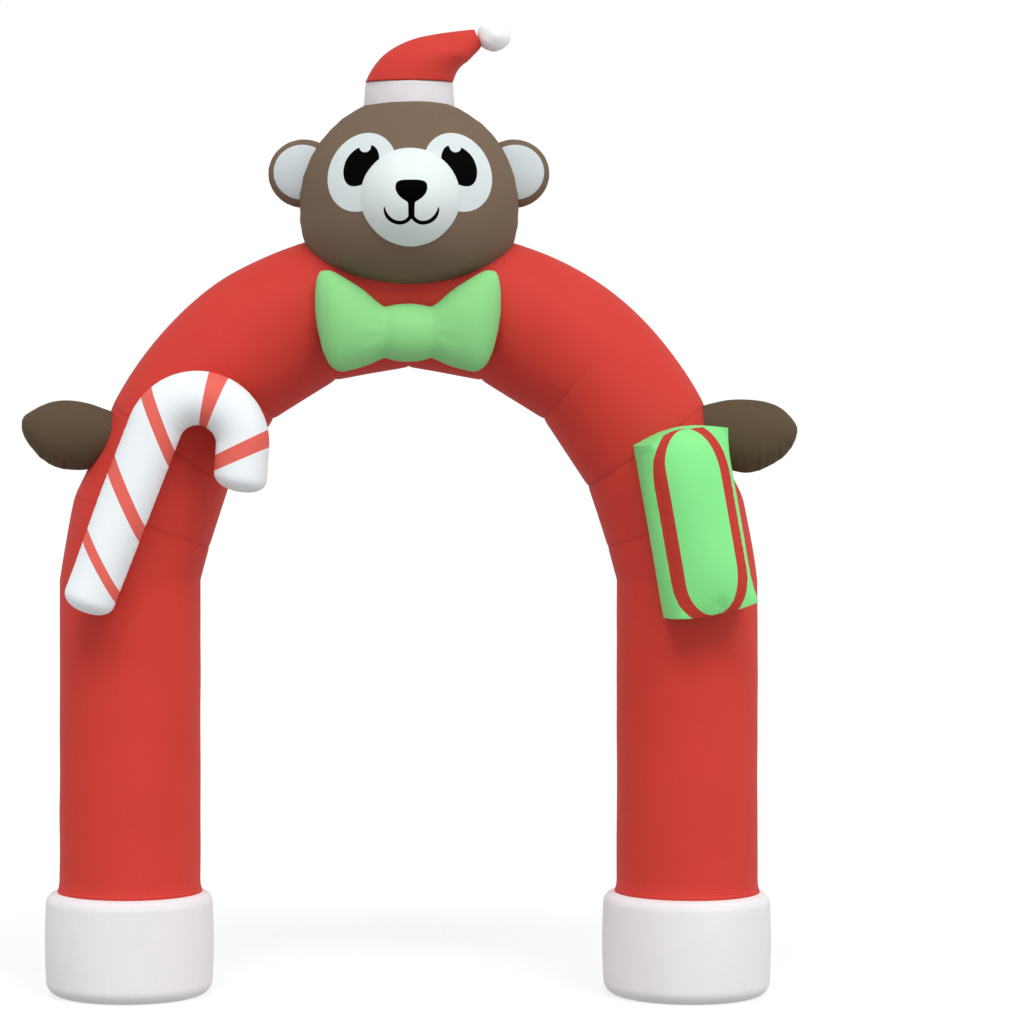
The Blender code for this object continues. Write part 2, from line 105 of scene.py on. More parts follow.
def through(table: Sequence[Sequence[float]], count: int) -> Array:
    """Lead a smooth curve through the rows of a table and read it at equal steps.

    The curve's parameter is the chord length from row to row. Between two rows each column is the
    cubic with the rows' own values and slopes, and a row's slope is the mean of the chords on its
    two sides, each weighted with the other's length.

    Args:
        table: Rows of numbers.
        count: How many rows to read.

    Returns:
        An array of count rows.
    """
    rows = np.asarray(table, float)
    step = np.linalg.norm(np.diff(rows, axis=0), axis=1)
    knot = np.concatenate([[0.0], np.cumsum(step)])
    chord = np.diff(rows, axis=0) / step[:, None]
    slope = np.empty_like(rows)
    slope[0], slope[-1] = chord[0], chord[-1]
    before, after = step[:-1, None], step[1:, None]
    slope[1:-1] = (chord[:-1] * after + chord[1:] * before) / (before + after)
    place = np.linspace(0.0, knot[-1], count)
    part = np.clip(np.searchsorted(knot, place, side="right") - 1, 0, len(step) - 1)
    length = step[part][:, None]
    t = (place - knot[part])[:, None] / length
    return (
        (1 + 2 * t) * (1 - t) ** 2 * rows[part]
        + t * (1 - t) ** 2 * length * slope[part]
        + t * t * (3 - 2 * t) * rows[part + 1]
        + t * t * (t - 1) * length * slope[part + 1]
    )


def ruffle(turns: Array, seed: int, lowest: int, highest: int) -> Array:
    """Ripples round a ring: the sum of one sine for each whole number of waves in a turn.

    Args:
        turns: Places round the ring, in whole turns.
        seed: Draws the strengths and phases, the same each run.
        lowest: The fewest waves in a turn.
        highest: The most waves in a turn.

    Returns:
        Heights with a root mean square of one half.
    """
    draw = np.random.default_rng(seed)
    waves = np.arange(lowest, highest + 1)
    strength = draw.uniform(0.4, 1.0, waves.size)
    phase = draw.uniform(0.0, math.tau, waves.size)
    total = (strength * np.sin(math.tau * turns[..., None] * waves + phase)).sum(-1)
    return total / math.sqrt(2 * (strength**2).sum())


@dataclass(frozen=True)
class Puckers:
    """Ripples that run out from a seam: they swell up to a reach from it and then fade.

    seed draws them, the same each run. lowest and highest are their waves in a whole turn.
    """

    height: float
    reach: float
    seed: int
    lowest: int
    highest: int

    def at(self, distance: Array, turns: Array, shift: int = 0) -> Array:
        """The height times (d / reach) exp(1 - d / reach), times the ripples.

        Args:
            distance: How far places lie from the seam.
            turns: Where they lie along it, in whole turns.
            shift: Added to the seed, so that pieces of one kind differ.

        Returns:
            Heights in metres.
        """
        swell = distance / self.reach * np.exp(1 - distance / self.reach)
        return self.height * swell * ruffle(turns, self.seed + shift, self.lowest, self.highest)


@dataclass(frozen=True)
class Hills:
    """The slow hills of stretched cloth: their height, the waves' mean length, and their seed."""

    height: float
    size: float
    seed: int

    def at(self, points: Array, shift: int = 0) -> Array:
        """The height times the sum of sixteen plane waves, whose root mean square is one half.

        Args:
            points: Places in space.
            shift: Added to the seed, so that pieces of one kind differ.

        Returns:
            Heights in metres.
        """
        draw = np.random.default_rng(self.seed + shift)
        way = draw.normal(size=(3, 16))
        way *= math.tau / self.size * draw.uniform(0.6, 1.5, 16) / np.linalg.norm(way, axis=0)
        waves = np.sin(points @ way + draw.uniform(0.0, math.tau, 16))
        return self.height * (waves.sum(-1) / math.sqrt(32))


def groove(distance: Array, width: float) -> Array:
    """The dip of cloth at a seam: exp(-d / width), with a crease at the seam itself."""
    return np.exp(-distance / width)


def press_out(points: Array, way: Point3, clearance: Callable[[Array], Array]) -> Array:
    """Move the points that lie inside a form straight to its skin, all in one direction.

    The move is the root of the clearance along the way. It is found by halving a reach of half a
    metre 26 times.

    Args:
        points: Places in space.
        way: The unit direction in which points move.
        clearance: How far outside the form places are, below nothing inside it.

    Returns:
        The places, moved where they were inside.
    """
    inside = clearance(points) < 0
    held, step = points[inside], np.array(way)
    near, far = np.zeros((len(held), 1)), np.full((len(held), 1), 0.5)
    for _ in range(26):
        middle = (near + far) / 2
        deep = clearance(held + middle * step)[:, None] < 0
        near, far = np.where(deep, middle, near), np.where(deep, far, middle)
    moved = points.copy()
    moved[inside] = held + far * step
    return moved


# ---- Flat shapes of the prints, as signed distances: below nothing inside ----
def disc(x: Array, z: Array, centre: Point, radius: float) -> Array:
    """The distance from a disc's edge."""
    return np.hypot(x - centre[0], z - centre[1]) - radius


def oval(x: Array, z: Array, centre: Point, semi: Point, way: Point, power: float = 2.0) -> Array:
    """The distance from an oval's edge: its level less 1, times its mean radius.

    The level is (|u/a|^p + |v/b|^p)^(1/p), with u along the oval's long axis and v across it.

    Args:
        x: Places along X.
        z: Places along Z.
        centre: The oval's middle.
        semi: Half its length and half its width.
        way: The direction of its long axis.
        power: 2 for an ellipse, and less for a leaner one.

    Returns:
        The distance at each place, in metres, near enough at the edge.
    """
    size = math.hypot(*way)
    right, up = x - centre[0], z - centre[1]
    along = np.abs(right * way[0] + up * way[1]) / size / semi[0]
    across = np.abs(up * way[0] - right * way[1]) / size / semi[1]
    level = (along**power + across**power) ** (1 / power)
    return (level - 1) * math.sqrt(semi[0] * semi[1])


def bar(x: Array, z: Array, start: Point, end: Point, half_width: float) -> Array:
    """The distance from the edge of a round-ended bar between two points."""
    run = np.subtract(end, start)
    share = ((x - start[0]) * run[0] + (z - start[1]) * run[1]) / (run @ run)
    share = np.clip(share, 0.0, 1.0)
    return np.hypot(x - start[0] - share * run[0], z - start[1] - share * run[1]) - half_width


def bowed_line(x: Array, z: Array, centre: Point, radius: float, middle: float, spread: float,
               half_width: float, thinning: float) -> Array:
    """The distance from the edge of a line along an arc, which may thin to nothing at its tip.

    Args:
        x: Places along X.
        z: Places along Z.
        centre: The arc's centre.
        radius: The arc's radius.
        middle: The angle of the arc's middle, in degrees from +X, positive towards +Z.
        spread: Half the arc's angle in degrees. It is negative where the tip is at the other end.
        half_width: Half the line's width where it is full.
        thinning: The share of half the arc over which the line thins. 0 for a line that doesn't.

    Returns:
        The distance at each place, in metres, near enough at the edge.
    """
    angle = np.degrees(np.arctan2(z - centre[1], x - centre[0]))
    turn = (angle - middle + 180) % 360 - 180
    share = np.clip(turn / spread, -1.0, 1.0)
    on_arc = np.radians(middle + share * spread)
    near_x = centre[0] + radius * np.cos(on_arc)
    near_z = centre[1] + radius * np.sin(on_arc)
    width = half_width * np.sqrt(np.clip((1 - share) / max(thinning, 1e-6), 0.0, 1.0))
    return np.hypot(x - near_x, z - near_z) - width


# ---- Skins ----
@dataclass
class Skin:
    """A closed skin of cloth, before it is an object.

    points holds the vertices. faces, cloth and seam go together, group by group: the corners of
    faces of one kind, each corner's place on the flat cloth in metres, and each corner's distance
    from the nearest seam with its run along it. prints holds signed distances by vertex.
    """

    points: Array
    faces: list[Array]
    cloth: list[Array]
    seam: list[Array]
    prints: dict[str, Array] = field(default_factory=dict)

    def normals(self) -> Array:
        """Unit normals at the vertices: the sum of the crossed diagonals of the quads there."""
        quads = self.faces[0]
        first, second = quads[:, 2], quads[:, 3]
        across = np.cross(
            self.points[first] - self.points[quads[:, 0]],
            self.points[second] - self.points[quads[:, 1]],
        )
        total = np.zeros_like(self.points)
        for corner in range(4):
            np.add.at(total, quads[:, corner], across)
        total[np.linalg.norm(total, axis=1) < 1e-12] = (0.0, 0.0, 1.0)
        return total / np.linalg.norm(total, axis=1)[:, None]

    def face_outwards(self) -> None:
        """Turn every face round if the skin's signed volume is below nothing."""
        volume = 0.0
        for group in self.faces:
            for corner in range(1, group.shape[1] - 1):
                a, b, c = (self.points[group[:, k]] for k in (0, corner, corner + 1))
                volume += float((a * np.cross(b, c)).sum())
        if volume < 0:
            self.faces = [group[:, ::-1] for group in self.faces]
            self.cloth = [group[:, ::-1] for group in self.cloth]
            self.seam = [group[:, ::-1] for group in self.seam]

    def lift(self, heights: Array) -> None:
        """Move each vertex along its outward normal."""
        self.face_outwards()
        self.points = self.points + self.normals() * heights[:, None]

    def lift_rings(self, heights: Array) -> None:
        """Lift a skin of rings by heights in rings whose last column repeats the first.

        The vertex that closes each end stays.
        """
        self.lift(np.concatenate([heights[:, :-1].ravel(), [0.0, 0.0]]))

    def make_object(self, name: str, finish: "Finish") -> bpy.types.Object:
        """Put the skin into a smooth mesh object at the origin.

        Args:
            name: The object's name.
            finish: The cloth that dresses it.

        Returns:
            The object, linked to the scene.
        """
        self.face_outwards()
        mesh = bpy.data.meshes.new(name)
        faces = [face for group in self.faces for face in group.tolist()]
        mesh.from_pydata(self.points.tolist(), [], faces)
        for map_name, groups in (("cloth", self.cloth), ("seam", self.seam)):
            layer = mesh.uv_layers.new(name=map_name)
            flat = np.concatenate([group.reshape(-1, 2) for group in groups])
            layer.uv.foreach_set("vector", flat.astype(np.float32).ravel())
        for print_name, values in self.prints.items():
            layer = mesh.attributes.new(print_name, "FLOAT", "POINT")
            layer.data.foreach_set("value", values.astype(np.float32).ravel())
        mesh.shade_smooth()
        mesh.materials.append(finish.material())
        made = bpy.data.objects.new(name, mesh)
        bpy.context.scene.collection.objects.link(made)
        return made


def arc_length(points: Array, axis: int) -> Array:
    """The distance walked from point to point along an axis of a grid, from 0."""
    step = np.linalg.norm(np.diff(points, axis=axis), axis=-1)
    start = np.zeros_like(np.take(step, [0], axis=axis))
    return np.concatenate([start, np.cumsum(step, axis=axis)], axis=axis)


def ring_skin(grid: Array, seam: Array | None = None,
              prints: dict[str, Array] | None = None) -> Skin:
    """Close a grid of rings into a skin: quads from ring to ring and a fan over each end.

    A ring's last column repeats its first, so the maps run once round without a jump. On the
    cloth map, u is the arc length from the ring's middle column, and v that down the middle column.

    Args:
        grid: Points, ring by ring.
        seam: Each point's distance from the nearest seam and its run along it.
        prints: Signed distances by name, in the grid's shape.

    Returns:
        The skin, whose vertices are the grid's without its last column, then the two ends' middles.
    """
    rows, columns = grid.shape[0], grid.shape[1] - 1
    number = np.arange(rows * columns).reshape(rows, columns)
    number = np.concatenate([number, number[:, :1]], axis=1)
    around = arc_length(grid, 1)
    around -= around[:, columns // 2][:, None]
    down = arc_length(grid[:, columns // 2], 0)[:, None]
    cloth = np.stack([around, np.broadcast_to(down, around.shape)], axis=-1)
    if seam is None:
        seam = np.stack([np.full_like(around, NO_SEAM), around], axis=-1)

    def corners(values: Array) -> Array:
        """The four corners' values of every quad."""
        four = [values[:-1, :-1], values[:-1, 1:], values[1:, 1:], values[1:, :-1]]
        stacked = np.stack(four, axis=2)
        return stacked.reshape(-1, 4, *values.shape[2:])

    def fan(values: Array, row: int, middle: Array) -> Array:
        """The three corners' values of every triangle over one end, wound as the quads are."""
        near, far = (values[row, 1:], values[row, :-1]) if row == 0 else (
            values[row, :-1], values[row, 1:])
        return np.stack([near, far, middle], axis=1)

    pole = [np.full(columns, rows * columns + end) for end in (0, 1)]
    triangles = np.concatenate([fan(number, 0, pole[0]), fan(number, -1, pole[1])])
    maps = []
    for values in (cloth, seam):
        ends = [fan(values, row, (values[row, 1:] + values[row, :-1]) / 2) for row in (0, -1)]
        maps.append([corners(values), np.concatenate(ends)])
    middles = grid[[0, -1], :-1].mean(axis=1)
    points = np.concatenate([grid[:, :-1].reshape(-1, 3), middles])
    fields = {
        name: np.concatenate([values[:, :-1].ravel(), values[[0, -1], :-1].mean(axis=1)])
        for name, values in (prints or {}).items()
    }
    return Skin(points, [corners(number), triangles], maps[0], maps[1], fields)


@dataclass(frozen=True)
class CubeNet:
    """The six sides of a cube, each a square grid, welded along the twelve edges.

    A ball that is drawn on it has no pole, so no point where its cloth's lines crowd together.
    """

    unit: Array
    quads: Array
    chart: Array
    side: Array

    def spread(self) -> Array:
        """The vertices on the cube, at equal angles from its middle: the tangent of u pi / 4."""
        return np.tan(self.unit * math.pi / 4)

    def ways(self) -> Array:
        """Unit vectors from the middle to the vertices."""
        way = self.spread()
        return way / np.linalg.norm(way, axis=1)[:, None]


def cube_net(cells: int) -> CubeNet:
    """Lay out a cube's sides from -1 to 1, cells squares a side, with corners shared.

    Args:
        cells: Squares along an edge.

    Returns:
        The vertices, the quads, each corner's place on its side from -1 to 1, and each quad's side:
        twice its axis, and one more on the far side.
    """
    ticks = np.arange(cells + 1)
    first, second = np.meshgrid(ticks, ticks, indexing="ij")
    number = np.arange((cells + 1) ** 2).reshape(cells + 1, cells + 1)
    square = np.stack([number[:-1, :-1], number[1:, :-1], number[1:, 1:], number[:-1, 1:]], -1)
    square = square.reshape(-1, 4)
    flat = np.stack([first, second], -1).reshape(-1, 2) * 2 / cells - 1
    lattice, quads, chart, side = [], [], [], []
    for axis in range(3):
        for far in (0, 1):
            plane = np.empty(first.shape + (3,), int)
            plane[..., axis] = far * cells
            plane[..., (axis + 1) % 3], plane[..., (axis + 2) % 3] = first, second
            faces = square if far else square[:, ::-1]
            quads.append(faces + len(lattice) * number.size)
            chart.append(flat[faces])
            side.append(np.full(len(faces), 2 * axis + far))
            lattice.append(plane.reshape(-1, 3))
    unique, same = np.unique(np.concatenate(lattice), axis=0, return_inverse=True)
    return CubeNet(unique * 2 / cells - 1, same.reshape(-1)[np.concatenate(quads)],
                   np.concatenate(chart), np.concatenate(side))


def net_skin(net: CubeNet, points: Array, chart_size: Array, seam: Array | None = None) -> Skin:
    """Make a skin from a cube net whose vertices have been moved to a piece's form.

    Args:
        net: The net.
        points: The net's vertices in their final places.
        chart_size: The metres of cloth from the middle of each of the six sides to its edges.
        seam: Each quad corner's distance from the nearest seam and its run along it.

    Returns:
        The skin.
    """
    cloth = net.chart * chart_size[net.side][:, None, :]
    if seam is None:
        seam = np.stack([np.full(net.quads.shape, NO_SEAM), cloth[..., 0]], axis=-1)
    return Skin(points, [net.quads], [cloth], [seam])


def ball_chart(radius: float) -> Array:
    """The metres of cloth from the middle of each of a ball's six sides to its edges."""
    return np.full((6, 2), radius * math.pi / 4)


def round_seam(net: CubeNet, points: Array, distance: Array, centre: Point, radius: float) -> Array:
    """The seam map of a seam that runs round a ball in a plane across Y.

    Args:
        net: The net.
        points: Its vertices in their places.
        distance: Each vertex's distance from the seam.
        centre: The ball's middle, X and Z.
        radius: The ball's mean radius.

    Returns:
        Distance and run for every quad corner. The run is the angle round the ball times its
        radius, and a quad across the angle's jump is counted on from its first corner.
    """
    angle = np.arctan2(points[:, 2] - centre[1], points[:, 0] - centre[0])[net.quads]
    from_first = (angle - angle[:, :1] + math.pi) % math.tau - math.pi
    return np.stack([distance[net.quads], (angle[:, :1] + from_first) * radius], axis=-1)


# ---- Finishes ----
def linear_colour(hex_code: str) -> tuple[float, float, float, float]:
    """An sRGB hex colour as the linear colour that a shader's socket takes.

    Args:
        hex_code: Six hex digits.

    Returns:
        Red, green, blue and an alpha of 1.
    """
    channels = [int(hex_code[place:place + 2], 16) / 255 for place in (0, 2, 4)]
    return (
        *(c / 12.92 if c <= 0.04045 else ((c + 0.055) / 1.055) ** 2.4 for c in channels), 1.0,
    )


def empty_tree(owner: bpy.types.Material | bpy.types.World) -> bpy.types.NodeTree:
    """Give a material or a world a node tree with nothing in it."""
    owner.use_nodes = True
    owner.node_tree.nodes.clear()
    return owner.node_tree


def add_node(tree: bpy.types.NodeTree, kind: str, settings: dict[str, object] | None = None,
             links: dict[int | str, object] | None = None) -> bpy.types.Node:
    """Add a node with its settings, its input values and its links.

    Args:
        tree: The node tree.
        kind: The node's type.
        settings: Its properties by name.
        links: By input, an output socket that is linked to it or a value that is set on it.

    Returns:
        The node.
    """
    node = tree.nodes.new(kind)
    for name, value in (settings or {}).items():
        setattr(node, name, value)
    for name, value in (links or {}).items():
        if isinstance(value, bpy.types.NodeSocket):
            tree.links.new(value, node.inputs[name])
        else:
            node.inputs[name].default_value = value
    return node


@dataclass(frozen=True)
class Print:
    """Ink of one colour inside the edge that a vertex field gives as a signed distance."""

    field_name: str
    colour: str
    blur: float = 0.0007


@dataclass(frozen=True)
class Finish:
    """Woven polyester taffeta: filament yarn in plain weave, dyed, with a thin clear coating.

    It is a matt cloth with a broad, weak gloss. The yarns are 0.25 mm apart. They would never show,
    so the weave is drawn thirty-odd times coarser. The sewing is lockstitch of 4 mm, drawn at 11 mm
    for the same reason, 6 mm beside each seam. A thin band along each seam is darkened: painted shade
    that stands for the shade in the seam's crease.
    """

    name: str
    colour: str
    roughness: float = 0.62
    gloss: float = 0.12
    prints: tuple[Print, ...] = ()
    weave_pitch: float = 0.008
    weave_height: float = 0.00016
    mottle: float = 0.035
    mottle_size: float = 0.22
    stitch_pitch: float = 0.011
    stitch_share: float = 0.62
    stitch_offset: float = 0.0062
    stitch_half_width: float = 0.0011
    stitch_relief: float = 3.0  # in heights of the weave
    refraction: float = 1.5
    noise_range: Point = (0.25, 0.75)
    # The band along a seam is painted shade: its half width and the share of the colour left in it.
    painted_seam_half_width: float = 0.0022
    seam_painted_shade: float = 0.95
    stitch_shade: float = 0.96

    def material(self) -> bpy.types.Material:
        """The finish's material, made once and shared by its pieces."""
        found = bpy.data.materials.get(self.name)
        if found:
            return found
        material = bpy.data.materials.new(self.name)
        tree = empty_tree(material)
        weave = self._weave(tree)
        line, stitches = self._sewing(tree)
        colour = self._ink(tree)
        # Painted shade along each seam's crease.
        colour = self._shade(tree, colour, line, self.seam_painted_shade)
        colour = self._shade(tree, colour, stitches, self.stitch_shade)
        relief = add_node(tree, "ShaderNodeMath", {"operation": "MULTIPLY_ADD"},
                          {0: stitches, 1: self.stitch_relief, 2: weave}).outputs[0]
        bump = add_node(tree, "ShaderNodeBump", links={
            "Strength": 1.0, "Distance": self.weave_height, "Height": relief})
        shader = add_node(tree, "ShaderNodeBsdfPrincipled", links={
            "Base Color": colour, "Normal": bump.outputs[0], "Roughness": self.roughness,
            "Metallic": 0.0, "IOR": self.refraction, "Specular IOR Level": self.gloss})
        add_node(tree, "ShaderNodeOutputMaterial", links={"Surface": shader.outputs[0]})
        return material

    def _weave(self, tree: bpy.types.NodeTree) -> bpy.types.NodeSocket:
        """The plain weave's height: the warp's round back on one square, the weft's on the next.

        The squares' parity is the sum of the two yarn counts modulo 2, and a yarn's back is the
        sine of half a turn across it.
        """
        place = add_node(tree, "ShaderNodeUVMap", {"uv_map": "cloth"}).outputs[0]
        yarns = add_node(tree, "ShaderNodeVectorMath", {"operation": "SCALE"},
                         {0: place, "Scale": 1 / self.weave_pitch}).outputs[0]
        split = add_node(tree, "ShaderNodeSeparateXYZ", links={0: yarns})
        counts, backs = [], []
        for axis in (0, 1):
            counts.append(add_node(tree, "ShaderNodeMath", {"operation": "FLOOR"},
                                   {0: split.outputs[axis]}).outputs[0])
            turn = add_node(tree, "ShaderNodeMath", {"operation": "MULTIPLY"},
                            {0: split.outputs[axis], 1: math.pi}).outputs[0]
            wave = add_node(tree, "ShaderNodeMath", {"operation": "SINE"}, {0: turn}).outputs[0]
            backs.append(add_node(tree, "ShaderNodeMath", {"operation": "ABSOLUTE"},
                                  {0: wave}).outputs[0])
        total = add_node(tree, "ShaderNodeMath", {"operation": "ADD"},
                         {0: counts[0], 1: counts[1]}).outputs[0]
        parity = add_node(tree, "ShaderNodeMath", {"operation": "FLOORED_MODULO"},
                          {0: total, 1: 2.0}).outputs[0]
        return add_node(tree, "ShaderNodeMix", {"data_type": "FLOAT"},
                        {0: parity, 2: backs[0], 3: backs[1]}).outputs[0]

    def _sewing(self, tree: bpy.types.NodeTree) -> tuple[bpy.types.NodeSocket, ...]:
        """Masks of the painted shade in the seam's crease and of the row of stitches beside it."""
        place = add_node(tree, "ShaderNodeUVMap", {"uv_map": "seam"}).outputs[0]
        split = add_node(tree, "ShaderNodeSeparateXYZ", links={0: place})
        away, run = split.outputs[0], split.outputs[1]
        # The painted shade in the seam's crease.
        line = add_node(tree, "ShaderNodeMapRange", {"interpolation_type": "SMOOTHSTEP"}, {
            "Value": away, "From Min": 0.0, "From Max": self.painted_seam_half_width,
            "To Min": 1.0, "To Max": 0.0}).outputs[0]
        row = add_node(tree, "ShaderNodeMath", {"operation": "COMPARE"}, {
            0: away, 1: self.stitch_offset, 2: self.stitch_half_width}).outputs[0]
        turns = add_node(tree, "ShaderNodeMath", {"operation": "MULTIPLY"},
                         {0: run, 1: 1 / self.stitch_pitch}).outputs[0]
        share = add_node(tree, "ShaderNodeMath", {"operation": "FLOORED_MODULO"},
                         {0: turns, 1: 1.0}).outputs[0]
        dash = add_node(tree, "ShaderNodeMath", {"operation": "LESS_THAN"},
                        {0: share, 1: self.stitch_share}).outputs[0]
        stitches = add_node(tree, "ShaderNodeMath", {"operation": "MULTIPLY"},
                            {0: row, 1: dash}).outputs[0]
        return line, stitches

    def _ink(self, tree: bpy.types.NodeTree) -> bpy.types.NodeSocket:
        """The dyed colour with its slow mottle, and the prints over it in their order."""
        space = add_node(tree, "ShaderNodeTexCoord").outputs["Object"]
        noise = add_node(tree, "ShaderNodeTexNoise", {"noise_dimensions": "3D"}, {
            "Vector": space, "Scale": 1 / self.mottle_size, "Detail": 4.0}).outputs[0]
        level = add_node(tree, "ShaderNodeMapRange", links={
            "Value": noise, "From Min": self.noise_range[0], "From Max": self.noise_range[1],
            "To Min": 1 - self.mottle, "To Max": 1 + self.mottle}).outputs[0]
        colour: object = linear_colour(self.colour)
        for ink in self.prints:
            edge = add_node(tree, "ShaderNodeAttribute", {
                "attribute_type": "GEOMETRY", "attribute_name": ink.field_name}).outputs["Fac"]
            mask = add_node(tree, "ShaderNodeMapRange", links={
                "Value": edge, "From Min": -ink.blur, "From Max": ink.blur,
                "To Min": 1.0, "To Max": 0.0}).outputs[0]
            colour = add_node(tree, "ShaderNodeMix", {"data_type": "RGBA"}, {
                0: mask, 6: colour, 7: linear_colour(ink.colour)}).outputs[2]
        return add_node(tree, "ShaderNodeVectorMath", {"operation": "SCALE"}, {
            0: colour if isinstance(colour, bpy.types.NodeSocket) else colour[:3],
            "Scale": level}).outputs[0]

    def _shade(self, tree: bpy.types.NodeTree, colour: bpy.types.NodeSocket,
               mask: bpy.types.NodeSocket, shade: float) -> bpy.types.NodeSocket:
        """Darken a colour to a share of itself under a mask."""
        level = add_node(tree, "ShaderNodeMapRange", links={
            "Value": mask, "From Min": 0.0, "From Max": 1.0,
            "To Min": 1.0, "To Max": shade}).outputs[0]
        return add_node(tree, "ShaderNodeVectorMath", {"operation": "SCALE"},
                        {0: colour, "Scale": level}).outputs[0]


INK_BLACK = "010101"
COOL_WHITE = "DDE6E5"
PATCH_WHITE = "D3DBDC"
EAR_WHITE = "C9D1D3"

RED_TAFFETA = Finish("red_polyester_taffeta", "CA3D34")
WHITE_TAFFETA = Finish("white_polyester_taffeta", "E6E3E6")
# The band's white is a darker copy of the feet's white cloth: painted shade.
SHADED_BAND_TAFFETA = Finish("white_polyester_taffeta_painted_darker", "DFDBDD")
# The ball's white is a lighter copy of the same white cloth: painted light.
LIT_BALL_TAFFETA = Finish("white_polyester_taffeta_painted_lighter", "F6F6F8")
BROWN_TAFFETA = Finish("brown_polyester_taffeta", "746252", gloss=0.03, prints=(
    Print("eye_patch", PATCH_WHITE), Print("eye", INK_BLACK)))
EAR_TAFFETA = Finish("brown_polyester_taffeta_white_front", "746252", gloss=0.03, prints=(
    Print("ear_front", EAR_WHITE),))
MUZZLE_TAFFETA = Finish("cool_white_polyester_taffeta", COOL_WHITE, gloss=0.02, prints=(
    Print("nose_and_mouth", INK_BLACK),))
# The hands' seam band is wide and dark: a rim of painted shade along their outline.
HAND_TAFFETA = Finish("dark_brown_polyester_taffeta", "5A4B3A", gloss=0.06,
                      painted_seam_half_width=0.010, seam_painted_shade=0.58)
BOW_TAFFETA = Finish("leaf_green_polyester_taffeta", "8BD187")
GIFT_TAFFETA = Finish("spring_green_polyester_taffeta", "87E78D", prints=(
    Print("ribbon", "BE3B31"),))
CANE_TAFFETA = Finish("striped_polyester_taffeta", "ECF1F4", prints=(
    Print("stripes", "E4675C"),))


# ---- Pieces ----
def hand_over(skin: Skin, node: str, finish: Finish) -> bpy.types.Object:
    """Make an object of a finished skin, tell the frame what it is, and report it.

    Args:
        skin: The finished skin.
        node: The CAD node that it stands for.
        finish: The cloth that dresses it.

    Returns:
        The object.
    """
    piece = skin.make_object(f"{node}_cloth", finish)
    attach(piece, "root")
    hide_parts(node)
    flat = np.empty(len(piece.data.vertices) * 3)
    piece.data.vertices.foreach_get("co", flat)
    points = flat.reshape(-1, 3)
    low, high = (np.array(corner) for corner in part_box(node))
    proud = max((low - points.min(axis=0)).max(), (points.max(axis=0) - high).max())
    shy = max((points.min(axis=0) - low).max(), (high - points.max(axis=0)).max())
    LOG.info("%s: %d faces, at most %.1f mm over its solid's box and %.1f mm short of it",
             piece.name, len(piece.data.polygons), proud * 1000, shy * 1000)
    return piece


def ring_turns(columns: int) -> Array:
    """Angles round a ring from the back over the front to the back, both ends included."""
    return np.linspace(-math.pi, math.pi, columns + 1)


def turned(axis: Point, radius: Array, height: Array, turn: Array) -> Array:
    """Rings about an upright axis, from the back over the front to the back.

    Args:
        axis: Its X and Y.
        radius: One radius for each ring, or one for each point of it.
        height: The rings' heights.
        turn: The points' angles round a ring.

    Returns:
        The points, ring by ring.
    """
    return np.stack([
        axis[0] + radius * np.sin(turn),
        axis[1] - radius * np.cos(turn),
        np.broadcast_to(height[:, None], (height.size, turn.size)),
    ], axis=-1)


def near_marks(start: float, end: float, step: float, marks: Sequence[float],
               offsets: Sequence[float]) -> Array:
    """Stations at equal steps, and closer together beside each mark.

    Args:
        start: The first station.
        end: The last station.
        step: The distance between plain stations.
        marks: Where seams and creases lie.
        offsets: How far beside each mark there is a further station.

    Returns:
        The stations in rising order, none closer together than a third of the smallest offset.
    """
    low, high = min(start, end), max(start, end)
    plain = np.linspace(low, high, round((high - low) / step) + 1)
    both_ways = np.concatenate([offsets, np.negative(offsets)])
    beside = np.concatenate([np.add.outer(marks, both_ways).ravel(), marks])
    beside = beside[(beside > low) & (beside < high)]
    keep = np.abs(np.subtract.outer(plain, beside)).min(axis=1, initial=1.0) > step / 3
    keep[[0, -1]] = True
    every = np.sort(np.concatenate([plain[keep], beside]))
    return every[np.concatenate([[True], np.diff(every) > min(offsets) / 3])]


@dataclass(frozen=True)
class Seam:
    """A cross seam of the tube: its angle from the vertical, how many degrees further down its
    inner end lies, its radii, and the outer radius halfway to the next seam."""

    degrees: float
    lean: float
    inner: float
    outer: float
    outer_halfway: float


